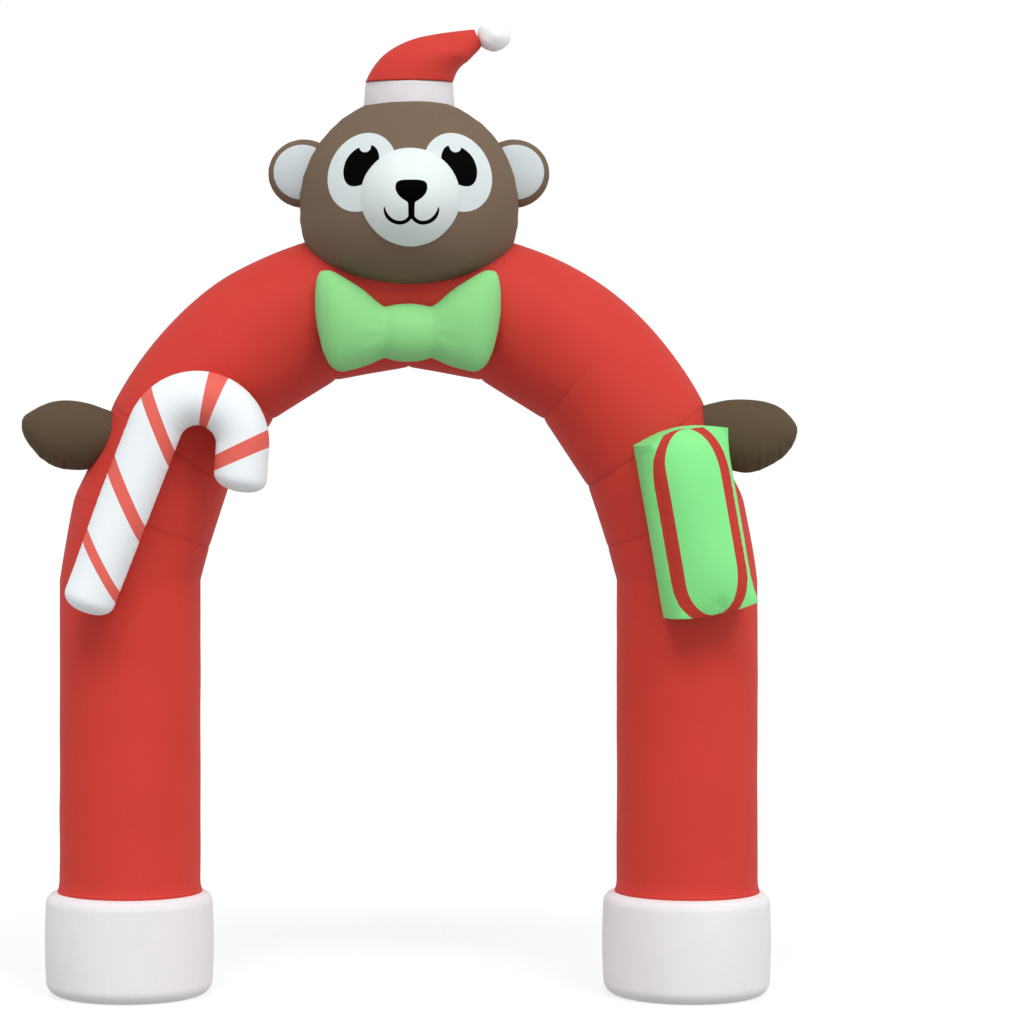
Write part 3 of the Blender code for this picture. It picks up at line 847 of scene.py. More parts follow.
@dataclass
class RedTube:
    """The red tube over the gateway, in five pieces that meet at its all-round seams."""

    centre_x: float = 0.0022
    centre_z: float = 1.433
    half_depth: float = 0.2435
    foot_height: float = 0.354
    hem_flare: float = 0.007
    hem_height: float = 0.030
    seam_draw_in: float = 0.0016
    seam_width: float = 0.006
    crease_depth: float = 0.0035
    crease_width: float = 0.006
    # Between these sines of a ring's angle the marks grow towards the arch's inner side, and by
    # these parts: what they have all round, and what the inner side adds.
    inner_fade: Point = (0.25, -0.95)
    pucker_parts: Point = (0.35, 0.90)
    crease_parts: Point = (0.05, 0.95)
    hem_falloff: float = 1.6
    hem_seam: float = 0.014
    hem_seam_depth: float = 0.0012
    hem_seam_width: float = 0.0022
    seam_puckers: Puckers = Puckers(0.0010, 0.022, 0, 14, 46)
    crease_puckers: Puckers = Puckers(0.0010, 0.0286, 1, 10, 34)
    hem_puckers: Puckers = Puckers(0.0008, 0.05, 31, 12, 40)
    hills: Hills = Hills(0.0012, 0.30, 2)
    shoulder_seed: int = 11
    crown_seed: int = 5
    leg_seed: int = 23
    columns: int = 112
    row_degrees: float = 0.55
    row_step: float = 0.013
    # Further rows beside each seam, in degrees, and beside the hem and its seam, in metres.
    beside_seam: tuple[float, ...] = (0.09, 0.2, 0.36, 0.6, 0.9)
    beside_hem: tuple[float, ...] = (0.0012, 0.0026, 0.0045, 0.007, 0.010)
    seams: tuple[Seam, ...] = (
        Seam(0, 0.0, 0.738, 1.216, 1.222),
        Seam(20, 0.0, 0.738, 1.224, 1.225),
        Seam(40, 0.0, 0.729, 1.217, 1.204),
        Seam(59.3, 3.2, 0.703, 1.191, 1.172),
        Seam(75.6, 4.9, 0.701, 1.192, 1.195),
        Seam(90, 0.0, 0.722, 1.209, 1.209),
    )

    def section(self, degrees: Array) -> tuple[Array, Array, Array]:
        """The tube's section at angles from the vertical.

        The inner radius follows the straight line between two seams' inner ends. The outer one is
        the parabola through both seams' values and the one halfway. The lean runs evenly.

        Args:
            degrees: Angles from the vertical.

        Returns:
            Inner radius, outer radius and lean, each with the angles' shape.
        """
        table = np.array([(s.degrees, s.lean, s.inner, s.outer, s.outer_halfway)
                          for s in self.seams])
        angle = np.clip(np.abs(degrees), 0.0, self.seams[-1].degrees)
        panel = np.clip(np.searchsorted(table[:, 0], angle) - 1, 0, len(table) - 2)
        near, far = table[panel], table[panel + 1]
        share = (angle - near[..., 0]) / (far[..., 0] - near[..., 0])
        lean = near[..., 1] + (far[..., 1] - near[..., 1]) * share
        turn = np.radians(far[..., 0] + far[..., 1] - near[..., 0] - near[..., 1])
        inner = near[..., 2] * far[..., 2] * np.sin(turn) / (
            near[..., 2] * np.sin(turn * share) + far[..., 2] * np.sin(turn * (1 - share)))
        rise = near[..., 4] - (near[..., 3] + far[..., 3]) / 2
        outer = near[..., 3] + (far[..., 3] - near[..., 3]) * share + 4 * rise * share * (1 - share)
        return inner, outer, lean

    def frame_at(self, degrees: Array, below: Array) -> tuple[Array, Array]:
        """The middle of the section and the half line from there to its outer end, as X and Z.

        Args:
            degrees: Angles from the vertical.
            below: Depths below the arch's centre, for the legs.

        Returns:
            Two arrays with a last axis of X and Z.
        """
        inner, outer, lean = self.section(degrees)
        angle = np.radians(degrees)
        leaning = np.radians(degrees + np.sign(degrees) * lean)
        inner_end = np.stack([inner * np.sin(leaning), inner * np.cos(leaning)], axis=-1)
        outer_end = np.stack([outer * np.sin(angle), outer * np.cos(angle)], axis=-1)
        middle = (inner_end + outer_end) / 2
        middle[..., 0] += self.centre_x
        middle[..., 1] += self.centre_z - below
        return middle, (outer_end - inner_end) / 2

    def rings(self, degrees: Array, below: Array, grow: Array) -> Array:
        """Rings of points, grown all round, for angles a from the back round over the front.

        A point is the middle, plus the half line times sin a, less the half depth times cos a.

        Args:
            degrees: Each ring's angle from the vertical.
            below: Its depth below the arch's centre.
            grow: How far each point stands out from the plain section.

        Returns:
            The points, ring by ring.
        """
        turn = ring_turns(self.columns)
        middle, half = self.frame_at(degrees, below)
        length = np.linalg.norm(half, axis=-1)[:, None]
        across = (1 + grow / length) * np.sin(turn)
        plane = middle[:, None, :] + half[:, None, :] * across[..., None]
        depth = ARCH_Y - (self.half_depth + grow) * np.cos(turn)
        return np.stack([plane[..., 0], depth, plane[..., 1]], axis=-1)

    @property
    def half_gap(self) -> float:
        """Half the gap between two pieces, in degrees round the arch's inner side."""
        return math.degrees(GAP / 2 / self.seams[-2].inner)

    def clearance(self, points: Array) -> Array:
        """How far outside the tube's skin points lie, as a share of its half depth.

        A point's section is found from its angle, less the lean's share at its radius. Its level
        there is the root of (across)^2 + (depth)^2, 1 on the plain skin, which falls in beside the
        all-round seams.

        Args:
            points: Places in space.

        Returns:
            The clearances, nothing a little under the skin and less than that further in.
        """
        x, y, z = points.T
        beside, over = x - self.centre_x, np.maximum(z - self.centre_z, 0.0)
        radius = np.hypot(beside, over)
        angle = np.degrees(np.arctan2(np.abs(beside), over))
        degrees = angle
        for _ in range(3):
            inner, outer, lean = self.section(degrees)
            degrees = angle - lean * np.clip((outer - radius) / (outer - inner), 0.0, 1.0)
        below = np.maximum(self.centre_z - z, 0.0)
        middle, half = self.frame_at(degrees * np.sign(beside), below)
        across = ((points[:, [0, 2]] - middle) * half).sum(axis=-1) / (half * half).sum(axis=-1)
        all_round = np.array([seam.degrees for seam in self.seams[-3:-1]])
        away = np.radians(np.abs(np.subtract.outer(degrees, all_round)).min(axis=-1)) * radius
        depth = SINK + self.seam_draw_in * groove(away, self.seam_width)
        return np.hypot(across, (y - ARCH_Y) / self.half_depth) - 1 + depth / self.half_depth

    def press(self, points: Array, way: Point3) -> Array:
        """Move what lies inside the tube along a direction, out to just under its skin."""
        return press_out(points, way, self.clearance)

    def build(self) -> None:
        """Make the two legs, the two shoulders and the crown."""
        shoulder, leg = self.seams[-3].degrees, self.seams[-2].degrees
        for side in Side:
            name = side.name.lower()
            self._build_arch(f"shoulder_{name}", side.value * shoulder, side.value * leg,
                             self.shoulder_seed)
            self._build_leg(f"leg_{name}", side)
        self._build_arch("crown", -shoulder, shoulder, self.crown_seed)

    def _grow(self, away: Array, crease: Array, seed: int, places: Array) -> Array:
        """How far the skin stands over the plain section.

        It falls into a groove at an end seam, dips at a cross crease on the inside of the bend,
        ripples beside both, and has slow hills.

        Args:
            away: Distance from the nearest end seam.
            crease: Distance from the nearest cross crease.
            seed: Draws the ripples and the hills.
            places: The plain points, for the hills.

        Returns:
            Heights in metres.
        """
        turn = ring_turns(self.columns)
        turns = np.broadcast_to(turn / math.tau, away.shape)
        inside = ease(*self.inner_fade, np.sin(turn))
        all_round, more_inside = self.pucker_parts
        heights = -self.seam_draw_in * groove(away, self.seam_width)
        heights += self.seam_puckers.at(away, turns, seed) * (all_round + more_inside * inside)
        all_round, more_inside = self.crease_parts
        heights -= self.crease_depth * groove(crease, self.crease_width) * (
            all_round + more_inside * inside)
        heights += self.crease_puckers.at(crease, turns, seed) * inside
        calm = 1 - np.exp(-away / self.hills.size * 6)
        return heights + calm * self.hills.at(places, seed)

    def _build_arch(self, node: str, start: float, end: float, seed: int) -> None:
        """Make the piece between two all-round seams, at angles from the vertical."""
        low, high = min(start, end), max(start, end)
        creases = [side.value * seam.degrees for seam in self.seams for side in Side
                   if low < side.value * seam.degrees < high]
        degrees = near_marks(low + self.half_gap, high - self.half_gap, self.row_degrees,
                             [low, high, *creases], self.beside_seam)
        level = np.zeros_like(degrees)
        plain = self.rings(degrees, level, np.zeros((degrees.size, self.columns + 1)))
        metres = np.radians(np.hypot(plain[..., 0], plain[..., 2] - self.centre_z))
        away = np.minimum(degrees[:, None] - low, high - degrees[:, None]) * metres
        crease = np.full_like(away, NO_SEAM)
        if creases:
            nearest = np.abs(np.subtract.outer(degrees, np.array(creases))).min(axis=1)
            crease = nearest[:, None] * metres
        grid = self.rings(degrees, level, self._grow(away, crease, seed, plain))
        seam = np.stack([away, arc_length(grid, 1)], axis=-1)
        hand_over(ring_skin(grid, seam), node, RED_TAFFETA)

    def _build_leg(self, node: str, side: Side) -> None:
        """Make a leg, from its hem on the foot up to the lowest all-round seam."""
        seam_degrees, level = self.seams[-2].degrees, self.seams[-1].degrees
        hem = self.centre_z - self.foot_height - GAP
        bend = near_marks(seam_degrees + self.half_gap, level, self.row_degrees,
                          [seam_degrees], self.beside_seam)
        height = near_marks(0.0, hem, self.row_step, [hem, hem - self.hem_seam],
                            self.beside_hem)[1:]
        degrees = side.value * np.concatenate([bend, np.full_like(height, level)])
        below = np.concatenate([np.zeros_like(bend), height])
        plain = self.rings(degrees, below, np.zeros((degrees.size, self.columns + 1)))
        walked = arc_length(plain, 0)
        away, to_hem = walked, walked[-1] - walked
        grow = self._grow(away, np.full_like(away, NO_SEAM), self.leg_seed + side.value, plain)
        turns = np.broadcast_to(ring_turns(self.columns) / math.tau, away.shape)
        grow += self.hem_flare * np.exp(-((to_hem / self.hem_height * self.hem_falloff) ** 2))
        from_line = (to_hem - self.hem_seam) / self.hem_seam_width
        grow -= self.hem_seam_depth * np.exp(-(from_line**2))
        grow += self.hem_puckers.at(to_hem, turns, side.value)
        grid = self.rings(degrees, below, grow)
        seam = np.stack([np.minimum(away, to_hem), arc_length(grid, 1)], axis=-1)
        hand_over(ring_skin(grid, seam), node, RED_TAFFETA)


@dataclass
class DrumFoot:
    """A white drum that a leg stands on, flat below and rounded at both ends."""

    side: Side
    leg_x: float = 0.9655
    height: float = 0.354
    wall: float = 0.288
    bulge: float = 0.004
    top_round: float = 0.038
    base_round: float = 0.050
    # Where the two seams lie on the rounded edges, as shares of their radii.
    top_seam: float = 0.30
    base_seam: float = 0.35
    puckers: Puckers = Puckers(0.0009, 0.03, 41, 20, 60)
    columns: int = 144

    def profile(self) -> Array:
        """The drum's profile as (radius, height), from the middle of its top to that of its base.

        A quarter circle joins the flat top to the wall, the wall bows as half a sine wave, and a
        larger quarter circle leads into the flat base.
        """
        quarter = np.linspace(0.0, math.pi / 2, 15)
        top_edge, low_edge = self.height - self.top_round, self.base_round
        flat_top = np.linspace(INNER_RING, self.wall - self.top_round, 9, endpoint=False)
        rise = np.linspace(0.0, 1.0, 21)[1:-1]
        flat_base = np.linspace(self.wall - self.base_round, INNER_RING, 10)[1:]
        radius = np.concatenate([
            flat_top,
            self.wall - self.top_round * (1 - np.sin(quarter)),
            self.wall + self.bulge * np.sin(math.pi * rise),
            self.wall - self.base_round * (1 - np.cos(quarter)),
            flat_base,
        ])
        height = np.concatenate([
            np.full_like(flat_top, self.height),
            top_edge + self.top_round * np.cos(quarter),
            top_edge + (low_edge - top_edge) * rise,
            low_edge - self.base_round * np.sin(quarter),
            np.zeros_like(flat_base),
        ])
        return np.stack([radius, height], axis=-1)

    def build(self) -> None:
        """Make the drum: its profile carried round its axis, with faint puckers by its seams."""
        profile = self.profile()
        turn = ring_turns(self.columns)
        upper = np.abs(profile[:, 1:] - (self.height - self.top_round * self.top_seam))
        lower = np.abs(profile[:, 1:] - self.base_round * self.base_seam)
        on_side = ease(0.5, 0.9, profile[:, :1] / self.wall)
        away = np.where(on_side > 0.3, np.minimum(upper, lower), NO_SEAM)
        away = np.broadcast_to(away, (len(profile), turn.size))
        turns = np.broadcast_to(turn / math.tau, away.shape)
        radius = profile[:, :1] + on_side * self.puckers.at(away, turns, self.side.value)
        grid = turned((self.side.value * self.leg_x, ARCH_Y), radius, profile[:, 1], turn)
        seam = np.stack([away, np.broadcast_to(turn * self.wall, away.shape)], axis=-1)
        hand_over(ring_skin(grid, seam), f"foot_{self.side.name.lower()}", WHITE_TAFFETA)


@dataclass
class AnimalHead:
    """The animal's head, with its muzzle and ears, and its plain printed face."""

    tube: RedTube
    centre_x: float = 0.0042
    centre_z: float = 2.729
    half_width: float = 0.3775
    up: float = 0.373
    down: float = 0.302
    power_up: float = 2.0
    power_down: float = 2.6
    # A hill in the form above the face: its rise, and where it lies as slopes off the vertical.
    brow: float = 0.030
    brow_forward: float = 0.50
    brow_half_width: float = 0.38
    brow_half_depth: float = 0.30
    head_cells: int = 96
    seam_depth: float = 0.0025
    seam_width: float = 0.005
    puckers: Puckers = Puckers(0.0012, 0.03, 51, 16, 52)
    hills: Hills = Hills(0.0012, 0.24, 52)
    muzzle_x: float = 0.0075
    muzzle_z: float = 2.7340
    muzzle_radius: float = 0.1712
    muzzle_half_depth: float = 0.130
    muzzle_power: float = 1.44
    muzzle_cells: int = 72
    muzzle_hills: Hills = Hills(0.0006, 0.12, 61)
    ear_x: float = 0.362
    ear_z: float = 2.8378
    ear_shift: float = 0.0031
    ear_forward: float = 0.055
    ear_radius: float = 0.1234
    ear_half_height: float = 0.1186
    ear_half_depth: float = 0.052
    ear_cells: int = 44
    ear_seam_depth: float = 0.0012
    ear_seam_width: float = 0.003
    ear_puckers: Puckers = Puckers(0.0005, 0.012, 71, 12, 34)
    ear_front: Point = (0.3668, 2.8410)
    ear_front_semi: Point = (0.0990, 0.0945)
    patch_mirror: float = 0.0064
    eye_mirror: float = 0.0077
    patch: Point = (-0.1549, 2.8233)
    patch_semi: Point = (0.139, 0.1126)
    patch_way: Point = (0.40, 0.917)
    eye: Point = (-0.1573, 2.8446)
    eye_semi: Point = (0.0784, 0.0548)
    eye_way: Point = (0.54, 0.84)
    eye_power: float = 1.85
    glint: Point = (-0.1444, 2.9098)
    glint_radius: float = 0.0199
    nose: Point = (0.0115, 2.7605)
    nose_half_width: float = 0.0530
    nose_up: float = 0.0280
    nose_down: float = 0.0470
    nose_power_up: float = 3.5
    nose_power_down: float = 1.72
    nose_fillet: float = 0.006
    lip_top: Point = (0.0115, 2.7250)
    lip_foot: Point = (0.0115, 2.6680)
    lip_half_width: float = 0.0103
    smile_reach: float = 0.0374
    smile_z: float = 2.6459
    smile_radius: float = 0.0530
    smile_spread: float = 46.0
    smile_thinning: float = 0.9
    smile_inner_radius: float = 0.0385
    smile_inner_turn: float = 36.0
    smile_inner_spread: float = 39.0
    smile_half_width: float = 0.0063

    @property
    def centre(self) -> Array:
        """The head's middle."""
        return np.array([self.centre_x, ARCH_Y - HEAD_FORWARD, self.centre_z])

    def level(self, points: Array) -> Array:
        """How far out points lie in the head's form, 1 on its skin.

        The level is (s^p + |z|^p)^(1/p), with s the distance from the upright axis and z the
        height, both as shares of the form's half sizes, and a power of its own above and below. The
        upper half size grows by a small hill about the direction of the brow.
        """
        away = points - self.centre
        spread = np.hypot(away[..., 0] / self.half_width, away[..., 1] / HEAD_HALF_DEPTH)
        over = away[..., 2] >= 0
        lean = away / np.maximum(np.abs(away[..., 2:]), 1e-6)
        brow = np.exp(-((lean[..., 0] / self.brow_half_width) ** 2)
                      - ((lean[..., 1] + self.brow_forward) / self.brow_half_depth) ** 2)
        up = self.up * (1 + self.brow * brow)
        rise = np.abs(away[..., 2]) / np.where(over, up, self.down)
        power = np.where(over, self.power_up, self.power_down)
        return (spread**power + rise**power) ** (1 / power)

    def press(self, points: Array, way: Point3) -> Array:
        """Move what lies inside the head along a direction, out to just under its skin."""
        return press_out(points, way, lambda place: self.level(place) - 1 + SINK / self.half_width)

    def build(self) -> None:
        """Make the head, the muzzle and both ears."""
        self._build_head()
        self._build_muzzle()
        for side in Side:
            self._build_ear(side)

    def _build_head(self) -> None:
        """Make the head: a cube net blown out to the head's form, with a seam round its middle."""
        net = cube_net(self.head_cells)
        half = np.array([self.half_width, HEAD_HALF_DEPTH, (self.up + self.down) / 2])
        way = net.spread() * half
        points = self.centre + way / self.level(self.centre + way)[:, None]
        from_seam = np.abs(points[:, 1] - self.centre[1])
        angle = np.arctan2(points[:, 2] - self.centre_z, points[:, 0] - self.centre_x)
        heights = -self.seam_depth * groove(from_seam, self.seam_width)
        heights += self.puckers.at(from_seam, angle / math.tau) + self.hills.at(points)
        size = np.array([HEAD_HALF_DEPTH, self.up, self.up, self.half_width,
                         self.half_width, HEAD_HALF_DEPTH]).reshape(3, 2)
        chart_size = np.repeat(size * math.pi / 4, 2, axis=0)
        middle = (self.centre_x, self.centre_z)
        seam = round_seam(net, points, from_seam, middle, self.half_width)
        skin = net_skin(net, points, chart_size, seam)
        skin.lift(heights)
        skin.points = self.tube.press(skin.points, (0.0, 0.0, 1.0))
        skin.prints = self._face_prints(skin.points)
        hand_over(skin, "head", BROWN_TAFFETA)

    def _face_prints(self, points: Array) -> dict[str, Array]:
        """The patches and the eyes, on the front half: ovals, and a disc cut out for a glint.

        The left ones are drawn, and places right of each pair's middle are mirrored onto them.
        """
        z = points[:, 2]
        x = self.patch_mirror - np.abs(points[:, 0] - self.patch_mirror)
        patch = oval(x, z, self.patch, self.patch_semi, self.patch_way)
        x = self.eye_mirror - np.abs(points[:, 0] - self.eye_mirror)
        eye = oval(x, z, self.eye, self.eye_semi, self.eye_way, self.eye_power)
        eye = np.maximum(eye, -disc(x, z, self.glint, self.glint_radius))
        behind = points[:, 1] > self.centre[1]
        return {name: np.where(behind, NO_SEAM, edge)
                for name, edge in (("eye_patch", patch), ("eye", eye))}

    def _build_muzzle(self) -> None:
        """Make the muzzle: a flattened ball with the nose and the mouth printed on it.

        Its depth is a ball's to a power above 1, so it leans flatly onto the head at its edge.
        """
        net = cube_net(self.muzzle_cells)
        way = net.ways()
        way[:, 1] = np.sign(way[:, 1]) * np.abs(way[:, 1]) ** self.muzzle_power
        half = np.array([self.muzzle_radius, self.muzzle_half_depth, self.muzzle_radius])
        centre = np.array([self.muzzle_x, ARCH_Y - FRONT_REACH + self.muzzle_half_depth,
                           self.muzzle_z])
        skin = net_skin(net, centre + way * half, ball_chart(self.muzzle_radius))
        skin.lift(self.muzzle_hills.at(skin.points))
        behind = skin.points[:, 1] > centre[1]
        print_field = self._nose_and_mouth(skin.points[:, 0], skin.points[:, 2])
        skin.prints = {"nose_and_mouth": np.where(behind, NO_SEAM, print_field)}
        skin.points = self.press(skin.points, (0.0, -1.0, 0.0))
        hand_over(skin, "muzzle", MUZZLE_TAFFETA)

    def _nose_and_mouth(self, x: Array, z: Array) -> Array:
        """The nose, the line below it and the mouth.

        The nose is an oval with a flat top and a pointed foot, which runs into the upright line
        with a fillet: the sum of the two distances less the root of their squared difference and
        the fillet's square, halved. The mouth is two hooks, each of a wide and a narrow arc.
        """
        wide = self.nose_half_width
        level = (1.0, 0.0)
        upper = oval(x, z, self.nose, (wide, self.nose_up), level, self.nose_power_up)
        lower = oval(x, z, self.nose, (wide, self.nose_down), level, self.nose_power_down)
        nose = np.where(z > self.nose[1], upper, lower)
        line = bar(x, z, self.lip_top, self.lip_foot, self.lip_half_width)
        shapes = [(nose + line - np.hypot(nose - line, self.nose_fillet)) / 2]
        for side in Side:
            middle = self.nose[0] + side.value * self.smile_reach
            shapes.append(bowed_line(
                x, z, (middle, self.smile_z + self.smile_radius), self.smile_radius,
                -90 + side.value * self.smile_spread, side.value * self.smile_spread,
                self.smile_half_width, self.smile_thinning))
            shapes.append(bowed_line(
                x, z, (middle, self.smile_z + self.smile_inner_radius), self.smile_inner_radius,
                -90 - side.value * self.smile_inner_turn, side.value * self.smile_inner_spread,
                self.smile_half_width, 0.0))
        return np.min(shapes, axis=0)

    def _build_ear(self, side: Side) -> None:
        """Make an ear: a flat round cushion with a seam round its rim and a white front."""
        net = cube_net(self.ear_cells)
        way = net.ways()
        half = np.array([self.ear_radius, self.ear_half_depth, self.ear_half_height])
        centre = np.array([side.value * self.ear_x + self.ear_shift,
                           ARCH_Y - self.ear_forward, self.ear_z])
        points = centre + way * half
        from_seam = np.abs(points[:, 1] - centre[1])
        angle = np.arctan2(way[:, 2], way[:, 0])
        seam = round_seam(net, points, from_seam, (centre[0], centre[2]), self.ear_radius)
        skin = net_skin(net, points, ball_chart(self.ear_radius), seam)
        skin.lift(-self.ear_seam_depth * groove(from_seam, self.ear_seam_width)
                  + self.ear_puckers.at(from_seam, angle / math.tau))
        middle = (side.value * self.ear_front[0] + self.ear_shift, self.ear_front[1])
        front = oval(skin.points[:, 0], skin.points[:, 2], middle, self.ear_front_semi, (1.0, 0.0))
        skin.prints = {"ear_front": np.where(skin.points[:, 1] > centre[1], NO_SEAM, front)}
        skin.points = self.press(skin.points, (float(side.value), 0.0, 0.0))
        hand_over(skin, f"ear_{side.name.lower()}", EAR_TAFFETA)


@dataclass
class StockingCap:
    """The stocking cap: a white band, a red cone that droops to the right, and a white ball."""

    head: AnimalHead
    band_x: float = 0.004
    band_bottom: float = 2.980
    band_top: float = 3.153
    band_radius: float = 0.156
    band_top_radius: float = 0.151
    band_bulge: float = 0.003
    front_drop: float = 0.0057
    band_edge: float = 0.008
    ball_x: float = 0.2971
    ball_z: float = 3.3166
    ball_radius: float = 0.057
    ball_cells: int = 32
    cone_power: float = 0.85
    # The cone's folds, the shares of its length where they rise and fall, and how far up the
    # tilt of the join reaches.
    fold_height: float = 0.0005
    fold_length: float = 0.050
    fold_rise: Point = (0.10, 0.35)
    fold_fall: Point = (0.98, 0.70)
    tilt_reach: float = 0.35
    band_hills: Hills = Hills(0.0006, 0.09, 81)
    cone_puckers: Puckers = Puckers(0.0008, 0.018, 91, 12, 40)
    ball_hills: Hills = Hills(0.0016, 0.06, 95)
    columns: int = 96
    rows: int = 72
    # The ends of each section's diameter: left x and z, right x and z.
    sections: tuple[tuple[float, float, float, float], ...] = (
        (-0.147, 3.1533, 0.155, 3.1533),
        (-0.124, 3.198, 0.169, 3.189),
        (-0.093, 3.237, 0.186, 3.211),
        (-0.041, 3.275, 0.2065, 3.2265),
        (0.019, 3.301, 0.2195, 3.239),
        (0.093, 3.318, 0.231, 3.251),
        (0.162, 3.328, 0.243, 3.263),
        (0.228, 3.335, 0.252, 3.275),
    )

    @property
    def middle_y(self) -> float:
        """The cap stands over the head's middle."""
        return ARCH_Y - HEAD_FORWARD

    def build(self) -> None:
        """Make the band, the cone and the ball."""
        self._build_band()
        self._build_cone()
        self._build_ball()

    def _tilt(self, grid: Array) -> Array:
        """How far the join of band and cone is raised, evenly from its low front to its back."""
        return self.front_drop * (grid[..., 1] - self.middle_y) / self.band_radius

    def _build_band(self) -> None:
        """Make the band: a slightly tapered drum, pressed onto the top of the head."""
        rise = np.linspace(0.0, 1.0, 33)
        quarter = np.linspace(0.0, math.pi / 2, 7)[1:-1]
        wall = self.band_top_radius + (self.band_radius - self.band_top_radius) * rise
        wall = wall + self.band_bulge * np.sin(math.pi * rise)
        wall_top = self.band_top - self.band_edge
        flat_top = np.linspace(INNER_RING, wall[0] - self.band_edge, 8)
        flat_base = np.linspace(wall[-1], INNER_RING, 22)[1:]
        radius = np.concatenate([
            flat_top,
            wall[0] - self.band_edge * (1 - np.sin(quarter)),
            wall,
            flat_base,
        ])
        height = np.concatenate([
            np.full_like(flat_top, self.band_top),
            wall_top + self.band_edge * np.cos(quarter),
            wall_top + (self.band_bottom - wall_top) * rise,
            np.full_like(flat_base, self.band_bottom),
        ])
        turn = ring_turns(self.columns)
        grid = turned((self.band_x, self.middle_y), radius[:, None], height, turn)
        away = np.abs(grid[..., 2] - wall_top)
        share = (grid[..., 2] - self.band_bottom) / (self.band_top - self.band_bottom)
        grid[..., 2] += self._tilt(grid) * share
        seam = np.stack([away, self.band_radius * np.broadcast_to(turn, away.shape)], axis=-1)
        skin = ring_skin(grid, seam)
        skin.lift(self.band_hills.at(skin.points))
        skin.points = self.head.press(skin.points, (0.0, 0.0, 1.0))
        hand_over(skin, "cap_band", SHADED_BAND_TAFFETA)

    def _build_cone(self) -> None:
        """Make the cone: sections carried along its droop, with folds inside the bend.

        A section's depth is its radius times the cosine to a power below 1, so it is a little
        squarer than round.
        """
        table = through(self.sections, self.rows)
        turn = ring_turns(self.columns)
        left, right = table[:, :2], table[:, 2:]
        middle, half = (left + right) / 2, (right - left) / 2
        radius = np.linalg.norm(half, axis=1)[:, None]
        plane = middle[:, None, :] + half[:, None, :] * np.sin(turn)[:, None]
        deep = np.sign(np.cos(turn)) * np.abs(np.cos(turn)) ** self.cone_power
        grid = np.stack([plane[..., 0], self.middle_y - radius * deep, plane[..., 1]], -1)
        walked = arc_length(grid[:, self.columns // 4], 0)[:, None]
        inside = ease(0.1, 1.0, np.sin(turn))
        along = walked / walked[-1]
        folds = np.sin(walked / self.fold_length * math.tau)
        folds = folds * ease(*self.fold_rise, along) * ease(*self.fold_fall, along)
        away = np.minimum(walked, walked[-1] - walked)
        turns = np.broadcast_to(turn / math.tau, grid.shape[:2])
        lift = self.fold_height * folds * inside + self.cone_puckers.at(away, turns)
        radial = np.stack([half[:, None, 0] / radius * np.sin(turn),
                           -np.broadcast_to(np.cos(turn), lift.shape),
                           half[:, None, 1] / radius * np.sin(turn)], axis=-1)
        grid = grid + radial * lift[..., None]
        grid[..., 2] += self._tilt(grid) * ease(self.tilt_reach, 0.0, along)
        seam = np.stack([np.broadcast_to(away, lift.shape), arc_length(grid, 1)], axis=-1)
        hand_over(ring_skin(grid, seam), "cap_cone", RED_TAFFETA)

    def _build_ball(self) -> None:
        """Make the ball at the tip: softly lumpy, and flattened where the cone's end meets it."""
        net = cube_net(self.ball_cells)
        centre = np.array([self.ball_x, self.middle_y, self.ball_z])
        skin = net_skin(net, centre + net.ways() * self.ball_radius, ball_chart(self.ball_radius))
        skin.lift(self.ball_hills.at(skin.points))
        tip, before = (np.array(row) for row in (self.sections[-1], self.sections[-2]))
        end = np.array([tip[[0, 2]].mean(), tip[[1, 3]].mean()])
        ahead = end - np.array([before[[0, 2]].mean(), before[[1, 3]].mean()])
        ahead /= np.linalg.norm(ahead)
        away = skin.points[:, [0, 2]] - end
        beyond = away @ ahead
        aside = np.hypot(away @ np.array([-ahead[1], ahead[0]]), skin.points[:, 1] - self.middle_y)
        inside = (beyond < 0) & (aside < np.hypot(*(tip[2:] - tip[:2])) / 2)
        skin.points[:, [0, 2]] += np.where(inside, -beyond, 0.0)[:, None] * ahead
        hand_over(skin, "pompom", LIT_BALL_TAFFETA)


def pillow_grid(table: Array, place: Array, across_y: float, base_z: float, columns: int,
                edge: float) -> Array:
    """Carry a pillow's upright sections along X.

    A section's height is the sine of the turn and its depth the cosine to the power 1 + edge, so
    its two panels meet in a slight ridge at the top and the bottom.

    Args:
        table: Rows of x, bottom, top and half depth.
        place: Each section's final X.
        across_y: The Y of the seam's plane.
        base_z: The Z that bottom and top are counted from.
        columns: Points round a section.
        edge: How much sharper than an ellipse the sections' ends are.

    Returns:
        The grid of rings. The middle column is the front.
    """
    turn = ring_turns(columns)
    middle = (table[:, 2] + table[:, 1])[:, None] / 2
    half = (table[:, 2] - table[:, 1])[:, None] / 2
    depth = np.sign(np.cos(turn)) * np.abs(np.cos(turn)) ** (1 + edge)
    return np.stack([
        np.broadcast_to(place[:, None], (place.size, turn.size)),
        across_y - table[:, 3:4] * depth,
        base_z + middle + half * np.sin(turn),
    ], axis=-1)


def outline_seam(grid: Array) -> Array:
    """The seam map of a pillow whose two panels meet along its top and bottom outline.

    Args:
        grid: The pillow's rings, with the front in the middle column.

    Returns:
        Each point's distance round its ring from the nearer outline, and its run along it.
    """
    columns = grid.shape[1] - 1
    around = arc_length(grid, 1)
    top, bottom = around[:, [3 * columns // 4]], around[:, [columns // 4]]
    away = np.minimum(np.abs(around - top), np.abs(around - bottom))
    run = arc_length(grid[:, 3 * columns // 4], 0)[:, None]
    return np.stack([away, np.broadcast_to(run, away.shape)], axis=-1)


